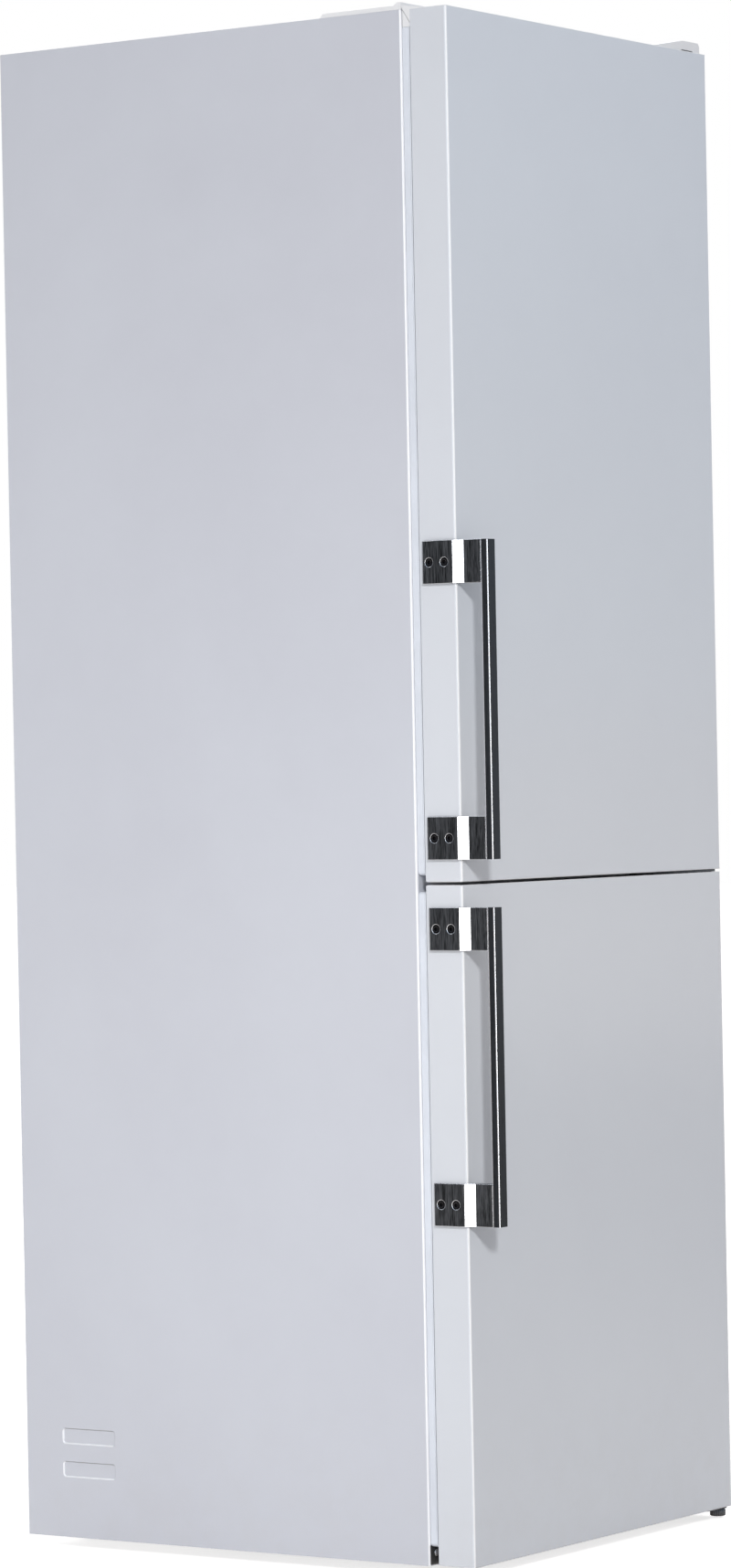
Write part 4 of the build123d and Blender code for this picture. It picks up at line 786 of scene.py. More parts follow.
@dataclass(frozen=True)
class Enamel(Finish):
    """Sprayed or coil-coated enamel on sheet steel, with its slight peel.

    Attributes:
        drift: the shade that it drifts to.
        roughness: the paint's own roughness.
        coat: how much of a clear gloss lies on top.
        scale: how quickly the shades change over a metre.
        dust: how dusty it is.
    """

    drift: Colour
    roughness: float = 0.34
    coat: float = 0.7
    scale: float = 1.6
    dust: float = 0.16

    def material(self, effects: Effects) -> Material:
        """Makes the material from the shared effects."""
        sheet = MaterialSheet(self.name, effects, Coat_Weight=self.coat, Coat_Roughness=0.09, IOR=1.5)
        shades = sheet.mottled(self.main, self.drift, self.scale)
        dust = sheet.dusted(shades, self.dust, 0.25, (0.52, 0.5, 0.46))
        hairs = sheet.effect(effects.scratches, Scale=11.0, Amount=0.5)["Mask"]
        sheet.rough(sheet.maths("ADD", dust, hairs, clamp=True), self.roughness, 0.62)
        peel = sheet.effect(effects.grain, Scale=(320, 320, 320), Detail=1.0)["Height"]
        sheet.bump(peel, 0.05, 0.35)
        return sheet.material


@dataclass(frozen=True)
class Moulded(Finish):
    """Moulded or vacuum-formed plastic, with a fine grain and paler rubbed edges.

    Attributes:
        drift: the shade that it drifts to.
        rubbed: the colour of its rubbed edges.
        roughness: its roughness.
        grain: the depth of its moulded grain in millimetres.
        fineness: how many grains lie in a metre.
        dust: how dusty it is.
        glow: how much light it lets through from its far side.
    """

    drift: Colour
    rubbed: Colour = (0.9, 0.9, 0.9)
    roughness: float = 0.42
    grain: float = 0.04
    fineness: float = 900.0
    dust: float = 0.1
    glow: float = 0.0

    def material(self, effects: Effects) -> Material:
        """Makes the material from the shared effects."""
        glow = {"Subsurface_Weight": self.glow, "Subsurface_Scale": 0.004}
        sheet = MaterialSheet(self.name, effects, IOR=1.48, **glow)
        edges = sheet.effect(effects.rub, Width=0.0012, Gain=2.0)["Mask"]
        shades = sheet.blend(edges, sheet.mottled(self.main, self.drift, 7.0), self.rubbed)
        sheet.dusted(shades, self.dust, 0.2, (0.5, 0.48, 0.44))
        grain = sheet.effect(effects.grain, Scale=(self.fineness,) * 3, Detail=3.0)
        sheet.rough(grain["Mask"], self.roughness - 0.05, self.roughness + 0.09)
        sheet.bump(grain["Height"], self.grain, 0.6)
        return sheet.material


class Brushing(Enum):
    """The way that a brushed metal's lines run, as how fine the lines are along x, y and z."""

    UPRIGHT = (900.0, 900.0, 60.0)
    NONE = (700.0, 700.0, 700.0)


@dataclass(frozen=True)
class Metal(Finish):
    """Bare, plated or anodised metal, brushed or plain.

    Attributes:
        drift: the shade between its lines.
        roughness: its roughness.
        brushing: the way its lines run.
        metallic: how metallic it is.
        depth: the depth of its lines in millimetres.
        dust: how dusty it is.
    """

    drift: Colour
    roughness: float = 0.3
    brushing: Brushing = Brushing.NONE
    metallic: float = 1.0
    depth: float = 0.01
    dust: float = 0.06

    def material(self, effects: Effects) -> Material:
        """Makes the material from the shared effects."""
        sheet = MaterialSheet(self.name, effects, Metallic=self.metallic, IOR=1.5)
        lines = sheet.effect(effects.grain, Scale=self.brushing.value, Detail=3.0)
        broad = tuple(value * 0.3 for value in self.brushing.value)
        bands = sheet.effect(effects.grain, Scale=broad, Detail=2.0)
        both = sheet.weigh(lines["Mask"], bands["Mask"], 0.6)
        shades = sheet.blend(both, self.main, self.drift)
        sheet.dusted(shades, self.dust, 0.1, (0.5, 0.48, 0.45))
        sheet.rough(both, self.roughness - 0.06, self.roughness + 0.08)
        sheet.bump(lines["Height"], self.depth, 0.6)
        return sheet.material


@dataclass(frozen=True)
class Clear(Finish):
    """Clear plastic or glass, which looks denser where it is seen edge on.

    Attributes:
        drift: the shade that it drifts to.
        body: how much of what is behind it the face hides.
        edge: how much it hides where it is seen edge on.
        roughness: its roughness.
        ripple: the depth of its ripple in millimetres.
    """

    drift: Colour
    body: float = 0.3
    edge: float = 0.85
    roughness: float = 0.08
    ripple: float = 0.1

    def material(self, effects: Effects) -> Material:
        """Makes the material from the shared effects."""
        sheet = MaterialSheet(self.name, effects, IOR=1.5, Coat_Weight=0.6, Coat_Roughness=0.03)
        hairs = sheet.effect(effects.scratches, Scale=9.0, Amount=0.5)["Mask"]
        shades = sheet.mottled(self.main, self.drift, 6.0)
        sheet.colour(sheet.blend(hairs, shades, (0.93, 0.94, 0.95)))
        ripple = sheet.effect(effects.grain, Scale=(60, 60, 60), Detail=1.0)
        marks = sheet.maths("ADD", hairs, sheet.maths("MULTIPLY", ripple["Mask"], 0.3), clamp=True)
        sheet.rough(marks, self.roughness, self.roughness + 0.3)
        sheet.bump(ripple["Height"], self.ripple, 0.4)
        facing = sheet.add("LayerWeight", {"Blend": 0.35}).outputs["Facing"]
        seen = sheet.spread(facing, 0.0, 1.0, self.body, self.edge)
        alpha = sheet.maths("ADD", seen, sheet.maths("MULTIPLY", hairs, 0.2), clamp=True)
        sheet.feed(sheet.shader, {"Alpha": alpha})
        return sheet.material


@dataclass(frozen=True)
class Rubber(Finish):
    """Soft rubber or vinyl, with a bloom, and a second colour in its folds found by ambient occlusion:
    painted shade on the pale seal, paler dirt on the black mounts.

    Attributes:
        fold_shade_and_dirt: the colour in its folds, painted shade where it is darker than the rubber and
            dirt where it is paler.
        roughness: its roughness.
    """

    fold_shade_and_dirt: Colour
    roughness: float = 0.55

    def material(self, effects: Effects) -> Material:
        """Makes the material from the shared effects."""
        sheet = MaterialSheet(self.name, effects, Sheen_Weight=0.25, Sheen_Roughness=0.5, IOR=1.45)
        shades = sheet.mottled(self.main, tuple(value * 0.93 for value in self.main), 12.0)
        # the folds found by ambient occlusion take the second colour: painted shade where it is darker than
        # the rubber, dirt where it is paler
        folds = sheet.add("AmbientOcclusion", {"Distance": 0.004}, samples=4).outputs["AO"]
        deep = sheet.spread(folds, 0.25, 0.8, 0.55, 0.0)
        sheet.colour(sheet.blend(deep, shades, self.fold_shade_and_dirt))
        grain = sheet.effect(effects.grain, Scale=(1400, 1400, 1400), Detail=2.0)
        sheet.rough(grain["Mask"], self.roughness, self.roughness + 0.16)
        sheet.bump(grain["Height"], 0.05, 0.5)
        return sheet.material


@dataclass(frozen=True)
class CellFoam(Finish):
    """Poured insulating foam, with its cut cells.

    Attributes:
        cell: the colour inside its cells.
    """

    cell: Colour

    def material(self, effects: Effects) -> Material:
        """Makes the material from the shared effects."""
        sheet = MaterialSheet(self.name, effects, IOR=1.4, Roughness=0.95)
        cells = sheet.add("TexVoronoi", {"Vector": sheet.place(), "Scale": 420.0})
        pits = sheet.spread(cells.outputs["Distance"], 0.1, 0.6)
        shades = sheet.mottled(self.main, tuple(value * 0.9 for value in self.main), 10.0)
        sheet.colour(sheet.blend(sheet.maths("MULTIPLY", pits, 0.4), shades, self.cell))
        sheet.bump(pits, 0.4, 0.7)
        return sheet.material


@dataclass(frozen=True)
class Spangled(Finish):
    """Zinc-coated sheet, with the large dull crystals of its coating.

    Attributes:
        drift: the shade of its darker crystals.
        size: how many crystals lie in a metre.
    """

    drift: Colour
    size: float = 90.0

    def material(self, effects: Effects) -> Material:
        """Makes the material from the shared effects."""
        sheet = MaterialSheet(self.name, effects, Metallic=0.85, IOR=1.5)
        crystals = {"Vector": sheet.place(), "Scale": self.size, "Randomness": 1.0}
        cells = sheet.add("TexVoronoi", crystals).outputs["Color"]
        tone = sheet.add("RGBToBW", {0: cells}).outputs[0]
        shades = sheet.blend(tone, self.main, self.drift)
        sheet.dusted(shades, 0.25, 0.3, (0.45, 0.43, 0.4))
        sheet.rough(tone, 0.34, 0.56)
        grain = sheet.effect(effects.grain, Scale=(500, 500, 500), Detail=2.0)
        sheet.bump(grain["Height"], 0.03, 0.5)
        return sheet.material


FINISHES: dict[str, Finish] = {
    "door": Enamel("door_enamel", (0.695, 0.722, 0.765), (0.675, 0.7, 0.745)),
    # paler enamel for the door skin's rounded edges and the front of its folds: a painted highlight
    "door_fold": Enamel(
        "door_painted_highlight_enamel", (0.95, 0.955, 0.965), (0.93, 0.935, 0.95), roughness=0.2, coat=1.0
    ),
    # paler enamel for the cabinet's front fold and the pressings' lit walls: a painted highlight
    "cabinet_fold": Enamel(
        "cabinet_painted_highlight_enamel", (0.9, 0.91, 0.94), (0.87, 0.88, 0.91), roughness=0.25, coat=0.8, scale=1.3
    ),
    # darker enamel for the pressings' shaded walls: painted shade
    "cabinet_shade": Enamel(
        "cabinet_painted_shade_enamel", (0.48, 0.485, 0.5), (0.44, 0.445, 0.46), roughness=0.35, coat=0.3
    ),
    "cabinet": Enamel("cabinet_enamel", (0.625, 0.645, 0.7), (0.59, 0.605, 0.66), coat=0.35, scale=1.3),
    "frame": Enamel("frame_enamel", (0.72, 0.73, 0.75), (0.68, 0.69, 0.71), coat=0.3, scale=5.0, dust=0.3),
    "black": Enamel(
        "black_enamel", (0.018, 0.018, 0.02), (0.028, 0.028, 0.03), roughness=0.36, coat=0.5, scale=14.0,
        dust=0.3,
    ),
    "white": Moulded("white_moulding", (0.85, 0.855, 0.865), (0.82, 0.825, 0.84), roughness=0.4),
    "liner": Moulded(
        "formed_liner", (0.8, 0.81, 0.81), (0.77, 0.78, 0.785), roughness=0.26, grain=0.03, fineness=260.0,
        dust=0.03,
    ),
    "trim": Moulded("shelf_trim", (0.6, 0.64, 0.68), (0.56, 0.6, 0.64), roughness=0.3, grain=0.02),
    "lens": Moulded(
        "frosted_lens", (0.86, 0.86, 0.82), (0.83, 0.83, 0.78), roughness=0.3, grain=0.06, glow=0.4
    ),
    "knob": Moulded(
        "knob_plastic", (0.34, 0.36, 0.4), (0.31, 0.33, 0.37), rubbed=(0.6, 0.62, 0.66), roughness=0.38
    ),
    "print": Moulded(
        "dial_print", (0.05, 0.05, 0.06), (0.07, 0.07, 0.08), rubbed=(0.08, 0.08, 0.09), roughness=0.6
    ),
    "motor": Moulded(
        "motor_plastic", (0.02, 0.02, 0.023), (0.03, 0.03, 0.034), rubbed=(0.11, 0.11, 0.12), roughness=0.55
    ),
    "fan": Moulded("fan_plastic", (0.66, 0.68, 0.7), (0.62, 0.64, 0.66), roughness=0.38),
    "plastic": Moulded(
        "black_plastic", (0.016, 0.016, 0.018), (0.024, 0.024, 0.026), rubbed=(0.09, 0.09, 0.09),
        roughness=0.5, grain=0.08, dust=0.3,
    ),
    "brushed": Metal(
        "dark_brushed", (0.008, 0.009, 0.01), (0.1, 0.104, 0.11), roughness=0.36, brushing=Brushing.UPRIGHT,
        metallic=0.85, depth=0.02,
    ),
    "satin": Metal(
        "dark_satin", (0.018, 0.02, 0.023), (0.034, 0.037, 0.042), roughness=0.33,
        brushing=Brushing.UPRIGHT, metallic=0.8, depth=0.008,
    ),
    "polished": Metal(
        "bright_polished", (0.93, 0.935, 0.95), (0.88, 0.89, 0.91), roughness=0.2, depth=0.0005, dust=0.0
    ),
    "blackened": Metal(
        "blackened_steel", (0.006, 0.006, 0.007), (0.012, 0.012, 0.013), roughness=0.2, metallic=0.95,
        depth=0.004,
    ),
    "worn": Metal("worn_steel", (0.07, 0.07, 0.073), (0.045, 0.045, 0.048), roughness=0.2, depth=0.004),
    "bright_screw": Metal("screw_steel", (0.62, 0.62, 0.63), (0.5, 0.5, 0.51), roughness=0.26),
    "plated": Metal(
        "plated_steel", (0.9, 0.9, 0.91), (0.8, 0.8, 0.82), roughness=0.12, depth=0.001, dust=0.0
    ),
    "hinge": Metal("hinge_steel", (0.12, 0.122, 0.128), (0.08, 0.082, 0.088), depth=0.02),
    "zinc": Spangled("spangled_zinc", (0.56, 0.58, 0.6), (0.42, 0.44, 0.46)),
    "fins": Metal(
        "fin_aluminium", (0.78, 0.79, 0.8), (0.62, 0.63, 0.65), roughness=0.34, brushing=Brushing.UPRIGHT,
        depth=0.02,
    ),
    "copper": Metal("drawn_copper", (0.74, 0.36, 0.2), (0.46, 0.2, 0.12), roughness=0.34, depth=0.02),
    "clear": Clear("clear_moulding", (0.8, 0.86, 0.9), (0.74, 0.8, 0.85)),
    "glass": Clear(
        "shelf_glass", (0.78, 0.88, 0.85), (0.74, 0.85, 0.82), body=0.16, edge=0.7, roughness=0.03,
        ripple=0.02,
    ),
    "glass_edge": Clear(
        "shelf_glass_edge", (0.2, 0.5, 0.42), (0.26, 0.56, 0.48), body=0.82, edge=0.95, roughness=0.1,
        ripple=0.05,
    ),
    # the seal's second colour darkens its folds by ambient occlusion: painted shade
    "seal": Rubber("seal_vinyl", (0.76, 0.8, 0.87), (0.57, 0.59, 0.63), roughness=0.3),
    "mount": Rubber("mount_rubber", (0.025, 0.025, 0.026), (0.06, 0.055, 0.05)),
    "foam": CellFoam("poured_foam", (0.78, 0.68, 0.42), (0.5, 0.4, 0.2)),
}


class Finishes:
    """Every finish of the fridge freezer, made once and kept under its name in the table."""

    def __init__(self, effects: Effects) -> None:
        """Makes the materials from the shared groups."""
        for name, finish in FINISHES.items():
            setattr(self, name, finish.material(effects))


# Fasteners


@dataclass(frozen=True)
class Fastener:
    """A screw as the CAD places it, in millimetres.

    Attributes:
        centre: the middle of the top of its head.
        axis: the direction that it lies along.
        out: 1 where its head looks up the axis, and -1 where it looks down.
        radius: its head's radius.
        length: its whole length.
    """

    centre: Point
    axis: Axis
    out: int
    radius: float
    length: float


def fasteners(node: str) -> list[Fastener]:
    """Reads where each screw of a CAD node is.

    Args:
        node: the node that holds the screws, each a solid of its own.

    Returns:
        The screws.
    """
    solid = plain_mesh(node)
    done = set()
    found = []
    for first in solid.verts:
        if first in done:
            continue
        island, edge = set(), [first]
        while edge:
            vertex = edge.pop()
            if vertex not in island:
                island.add(vertex)
                edge.extend(other.other_vert(vertex) for other in vertex.link_edges)
        done |= island
        places = [vertex.co / MM for vertex in island]
        low = [min(place[k] for place in places) for k in range(3)]
        high = [max(place[k] for place in places) for k in range(3)]
        size = [high[k] - low[k] for k in range(3)]
        along = max(range(3), key=lambda k: abs(size[k] - sorted(size)[1]))
        middle = [(low[k] + high[k]) / 2 for k in range(3)]
        others = [k for k in range(3) if k != along]
        reach = size[others[0]] / 2

        def widest(level: float) -> float:
            """Returns how far the screw reaches from its axis close to a level."""
            near = [place for place in places if abs(place[along] - level) < SAME_LEVEL]
            return max(math.hypot(*(place[k] - middle[k] for k in others)) for place in near)

        out = 1 if widest(high[along]) > widest(low[along]) else -1
        middle[along] = high[along] if out > 0 else low[along]
        found.append(Fastener(tuple(middle), Axis(along), out, reach, size[along]))
    solid.free()
    return found


@dataclass
class ScrewHead:
    """A screw head with a socket pressed into it.

    Attributes:
        corners: 6 for a hexagon socket, and 4 for a cross.
        socket: the socket's share of the head's radius.
        depth: the socket's depth in millimetres.
        dome: how far the head is crowned, in millimetres.
        sides: how many points each ring has.
    """

    corners: int = 6
    socket: float = 0.48
    depth: float = 2.0
    dome: float = 0.3
    sides: int = 48

    def reach(self, angle: float) -> float:
        """Returns the socket's edge at an angle, as a share of its widest reach."""
        if self.corners == 6:
            return hexagon(angle)
        return 0.34 + 0.66 * abs(math.cos(2 * angle)) ** 5

    def add(self, shape: Shape, screw: Fastener, finish: int = 0, bright: int = 1) -> None:
        """Adds a whole screw to a shape.

        Args:
            shape: the shape that it goes into.
            screw: where it is and how large.
            finish: the finish of its body.
            bright: the finish of the rim that catches the light.
        """
        radius = screw.radius - 0.1
        hole = radius * self.socket
        top = [
            (radius * 0.52, -screw.length * 0.35, 0),
            (radius * 0.98, -0.9, 0),
            (radius, -0.45, 0),
            (radius * 0.94, -0.12, 0),
            (radius * 0.7, self.dome * 0.4 - 0.12, 0),
            (hole * 1.16, self.dome - 0.14, 0),
            (hole, self.dome - 0.3, 1),
            (hole * 0.96, -self.depth, 1),
            (hole * 0.4, -self.depth - 0.3, 1),
        ]
        start = len(shape.faces)
        profile = [(reach, screw.out * height) for reach, height, _ in top]
        shape.lathe(
            profile, screw.centre, screw.axis, self.sides, finish,
            lambda number, angle: self.reach(angle) if top[number][2] else 1.0,
        )
        for ring in (1, 5):
            for side in range(self.sides):
                shape.finishes[start + ring * self.sides + side] = bright


# Sub-assemblies


@dataclass(frozen=True)
class Lamp:
    """A soft lamp of the studio.

    Attributes:
        name: its name.
        place: where it hangs, in metres.
        aim: the point that it faces.
        size: its width and height in metres.
        power: its power in watts.
        glints: True where it only shows in glossy faces, and False where it never shows in them.
    """

    name: str
    place: Point
    aim: Point
    size: Pair
    power: float
    glints: bool = False

    def build(self) -> None:
        """Hangs the lamp, out of the camera's own sight."""
        data = bpy.data.lights.new(self.name, "AREA")
        data.shape = "RECTANGLE"
        data.size, data.size_y = self.size
        data.energy = self.power
        lamp = bpy.data.objects.new(self.name, data)
        lamp.location = self.place
        lamp.rotation_euler = (Vector(self.aim) - Vector(self.place)).to_track_quat("-Z", "Y").to_euler()
        lamp.visible_camera = False
        lamp.visible_diffuse = not self.glints
        lamp.visible_glossy = self.glints
        bpy.context.scene.collection.objects.link(lamp)


@dataclass
class Studio:
    """The pale floor, the soft lamps, the world and the camera.

    Attributes:
        camera_place: where the camera stands, in metres.
        yaw: the way it looks, in degrees from +Y towards +X.
        pitch: how far it looks up, in degrees.
        roll: how far it leans, in degrees.
        lens: its focal length in millimetres on a sensor of 36.
        shift: how far the frame is moved across and up.
        floor_size: the floor's width in metres.
        lamps: the lamps.
        ambient: the world's light.
        ahead: what the front of the doors reflects, as a colour at each height of the look.
        aside: what the left side of the cabinet reflects, in the same way.
        ahead_end: where the look along y starts and ends to turn the first darker, and its share there.
        aside_end: the same for the second.
        meeting: where the look along y passes from the first to the second.
        paper: the two shades of the floor.
        lift: what the floor adds to its own tone, near and far, so that it is white to the camera.
        sheen: the colour of the floor in reflections.
    """

    camera_place: Point = (-5.5437, -3.7238, 0.9523)
    yaw: float = 55.655
    pitch: float = -0.614
    roll: float = -1.1
    lens: float = 123.463
    shift: Pair = (0.01503, 0.0257)
    floor_size: float = 60.0
    lamps: Sequence[Lamp] = (
        Lamp("key", (-6.1, -6.2, 5.0), (0.0, 0.0, 1.0), (1.0, 1.0), 428.0),
        Lamp("side", (-2.3, -0.12, 0.38), (-0.3, -0.1, 0.3), (0.8, 0.6), 10.5),
        Lamp("rear", (2.6, 3.6, 2.8), (0.0, 0.0, 1.0), (2.4, 2.4), 90.0),
        Lamp("strip", (-1.35, -0.99, 1.08), (-0.2975, -0.3065, 1.05), (0.3, 2.1), 7.5, glints=True),
        Lamp("ceiling", (2.2, 0.8, 3.6), (0.0, 0.0, 1.0), (3.6, 3.6), 110.0, glints=True),
        Lamp("edges", (-1.0, 2.6, 4.6), (-0.3, 0.1, 1.0), (1.6, 2.4), 48.0, glints=True),
    )
    ambient: Colour = (0.378, 0.383, 0.4)
    ahead: Sequence[tuple[float, Colour]] = (
        (-0.15, (0.84, 0.85, 0.88)), (-0.085, (0.7, 0.74, 0.8)), (-0.03, (1.0, 0.94, 0.92)),
        (0.008, (1.0, 0.96, 0.94)), (0.02, (0.8, 0.9, 1.0)), (0.13, (0.5, 0.68, 0.92)),
    )
    aside: Sequence[tuple[float, Colour]] = (
        (-0.15, (1.0, 0.96, 1.0)), (-0.02, (0.95, 0.95, 1.0)),
        (0.05, (0.85, 0.87, 0.95)), (0.14, (0.4, 0.45, 0.53)),
    )
    ahead_end: Point = (-0.55, -0.495, 0.82)
    aside_end: Point = (0.56, 0.615, 0.8)
    meeting: Pair = (-0.2, 0.2)
    paper: tuple[Colour, Colour] = ((0.72, 0.7, 0.69), (0.69, 0.67, 0.66))
    lift: Pair = (0.73, 0.84)
    sheen: Colour = (1.0, 0.93, 0.86)

    def build(self) -> None:
        """Sets up the whole studio."""
        self._camera()
        for lamp in self.lamps:
            lamp.build()
        self._world()
        self._floor()
        bpy.context.scene.view_settings.view_transform = "Standard"

    def _camera(self) -> None:
        """Stands the camera where the picture was taken from."""
        yaw, pitch, roll = (math.radians(angle) for angle in (self.yaw, self.pitch, self.roll))
        forward = Vector((math.sin(yaw) * math.cos(pitch), math.cos(yaw) * math.cos(pitch), math.sin(pitch)))
        right = Vector((math.cos(yaw), -math.sin(yaw), 0.0))
        up = right.cross(forward)
        across = right * math.cos(roll) + up * math.sin(roll)
        upward = up * math.cos(roll) - right * math.sin(roll)
        turned = Matrix((across, upward, -forward)).transposed().to_4x4()
        data = bpy.data.cameras.new("camera")
        data.sensor_width = 36.0
        data.lens = self.lens
        data.shift_x, data.shift_y = self.shift
        data.clip_end = 100.0
        camera = bpy.data.objects.new("camera", data)
        camera.matrix_world = Matrix.Translation(self.camera_place) @ turned
        bpy.context.scene.collection.objects.link(camera)
        bpy.context.scene.camera = camera

    def _world(self) -> None:
        """Lights the scene evenly, with a white backdrop and a cooler upper half in reflections."""
        world = bpy.data.worlds.new("world")
        world.use_nodes = True
        bpy.context.scene.world = world
        sheet = NodeSheet(world.node_tree)
        sheet.tree.nodes.clear()
        look = sheet.add("TexCoord").outputs["Generated"]
        direction = sheet.parts(look)
        clouds = sheet.noise(look, 9.0, 2.0)
        drift = sheet.maths("MULTIPLY", sheet.maths("SUBTRACT", clouds, 0.5), 0.05)
        height = sheet.maths("ADD", direction["Z"], drift)
        sides = []
        for stops, (start, end, share) in ((self.ahead, self.ahead_end), (self.aside, self.aside_end)):
            tone = sheet.ramp(height, stops)
            beyond = sheet.spread(direction["Y"], start, end)
            sides.append(sheet.blend(beyond, tone, sheet.shaded(tone, share)))
        mirrored = sheet.blend(sheet.spread(direction["Y"], *self.meeting), *sides)
        seen, glossy = sheet.rays()
        colour = sheet.blend(seen, sheet.blend(glossy, self.ambient, mirrored), WHITE)
        backdrop = sheet.add("Background", {"Color": colour, "Strength": 1.0})
        sheet.add("OutputWorld", {"Surface": backdrop.outputs[0]})

    def _floor(self) -> None:
        """Lays the floor, white to the camera where no shadow falls."""
        half = self.floor_size / 2
        mesh = bpy.data.meshes.new("studio_floor")
        corners = [(-half, -half, 0), (half, -half, 0), (half, half, 0), (-half, half, 0)]
        mesh.from_pydata(corners, [], [(0, 1, 2, 3)])
        floor = bpy.data.objects.new("studio_floor", mesh)
        bpy.context.scene.collection.objects.link(floor)
        material = bpy.data.materials.new("pale_floor")
        material.use_nodes = True
        sheet = NodeSheet(material.node_tree)
        shader = sheet.tree.nodes["Principled BSDF"]
        tone = sheet.spread(sheet.noise(sheet.place(), 3.0, 4.0), 0.3, 0.7)
        shades = sheet.blend(tone, *self.paper)
        sheet.feed(shader, {"Base Color": shades, "Roughness": 0.9, "Specular IOR Level": 0.0})
        place = sheet.add("NewGeometry").outputs["Position"]
        distance = sheet.add("VectorMath", {0: place}, operation="LENGTH").outputs["Value"]
        sheen = sheet.maths("ADD", sheet.spread(distance, 1.6, 4.5, 0.3, 0.06),
                            sheet.spread(distance, 7.0, 16.0, 0.0, 0.75))
        seen, glossy = sheet.rays()
        plain = sheet.maths("MULTIPLY", seen, sheet.spread(distance, 2.5, 8.0, *self.lift))
        mirrored = sheet.maths("MULTIPLY", glossy, sheen)
        glow = sheet.add("Emission", {
            "Color": sheet.blend(glossy, WHITE, self.sheen),
            "Strength": sheet.maths("ADD", plain, mirrored),
        })
        both = sheet.add("AddShader", {0: shader.outputs[0], 1: glow.outputs[0]})
        sheet.feed(sheet.tree.nodes["Material Output"], {"Surface": both.outputs[0]})
        mesh.materials.append(material)


@dataclass
class SubAssembly:
    """What every sub-assembly has.

    Attributes:
        finishes: the finishes.
    """

    finishes: Finishes

    def build(self) -> None:
        """Builds and dresses its pieces."""
        raise NotImplementedError


@dataclass
class DoorPart(SubAssembly):
    """What every sub-assembly of a door has.

    Attributes:
        door: which door it belongs to.
    """

    door: Door


@dataclass
class CabinetShell(SubAssembly):
    """The enamelled outside of the cabinet, its top cover and its back.

    Attributes:
        fold_easing: how the side panels' folds and pressings are rounded.
        cover_easing: how the top cover's edges are rounded.
        sill_span: where the black strip of painted shade at the cabinet's foot lies along x.
        sill_heights: how high the strip starts and ends.
        screw_pitch: the distance between the back panel's screws.
        screw_size: the radius of their heads and their length.
        screw_inset: how far they lie in from the panel's sides and below its top.
        screw_free: how much of the panel's height has no screws.
    """

    fold_easing: Easing = Easing(0.45, 3)
    cover_easing: Easing = Easing(0.9, 3)
    sill_span: Pair = (-296.0, 181.0)
    sill_heights: Pair = (14.5, 37.0)
    screw_pitch: float = 285.0
    screw_size: Pair = (4.2, 6.0)
    screw_inset: Pair = (14.0, 60.0)
    screw_free: float = 400.0

    def build(self) -> None:
        """Dresses the shell."""
        # the second enamel is paler, a painted highlight on the front fold and the pressings' lit walls; the
        # third is darker, painted shade on their shaded walls
        enamels = [self.finishes.cabinet, self.finishes.cabinet_fold, self.finishes.cabinet_shade]
        for node in ("left_side_panel", "right_side_panel"):
            rounded(node, "folded", "cabinet", "cabinet_paint", enamels, self.fold_easing, self.finish_of)
        paint("top_panel", self.finishes.cabinet)
        for node in ("base_frame", "centre_rail"):
            paint(node, self.finishes.frame)
        paint("cabinet_foam", self.finishes.foam)
        paint("back_panel", self.finishes.zinc)
        rounded("top_cover", "moulding", "cabinet", "white_plastic", [self.finishes.white], self.cover_easing)
        self._sill_shade_strip()
        self._back_screws()

    @staticmethod
    def finish_of(face: bmesh.types.BMFace) -> int:
        """Returns 1 for the front fold and the pressings' lit walls, whose paler enamel is a painted
        highlight, 2 for their shaded walls, whose darker enamel is painted shade, or 0.
        """
        x, y, z = face.normal
        if not 0.2 < abs(x) < 0.97:
            return 0
        return 1 if y < -0.2 or z > 0.3 else 2

    def _sill_shade_strip(self) -> None:
        """Lays a black strip along the foot of the cabinet's front, behind the lower door's edge, as painted
        shade in the deep gap below the seal.
        """
        face = span_of("left_side_panel")[0][1]
        low, high = self.sill_heights
        shape = Shape()
        shape.block((self.sill_span[0], face - 0.8, low), (self.sill_span[1], face + 0.2, high))
        piece = shape.build("sill_shade_strip", [self.finishes.plastic], Easing(0.2, 2))
        settle(piece, "cabinet", "black_plastic")

    def _back_screws(self) -> None:
        """Sets pan-head screws up both edges of the back panel."""
        low, high = span_of("back_panel")
        shape = Shape()
        head = ScrewHead(corners=4, socket=0.55, depth=1.1, dome=0.5)
        y = high[1] + 1.2
        inset, drop = self.screw_inset
        rows = int((high[2] - low[2] - self.screw_free) // self.screw_pitch)
        for side in (-1, 1):
            for step in range(rows + 1):
                z = high[2] - drop - step * self.screw_pitch
                place = (side * (high[0] - inset), y, z)
                head.add(shape, Fastener(place, Axis.Y, 1, *self.screw_size))
        piece = shape.build("back_panel_screws", [self.finishes.bright_screw, self.finishes.bright_screw])
        settle(piece, "cabinet", "screw_steel")


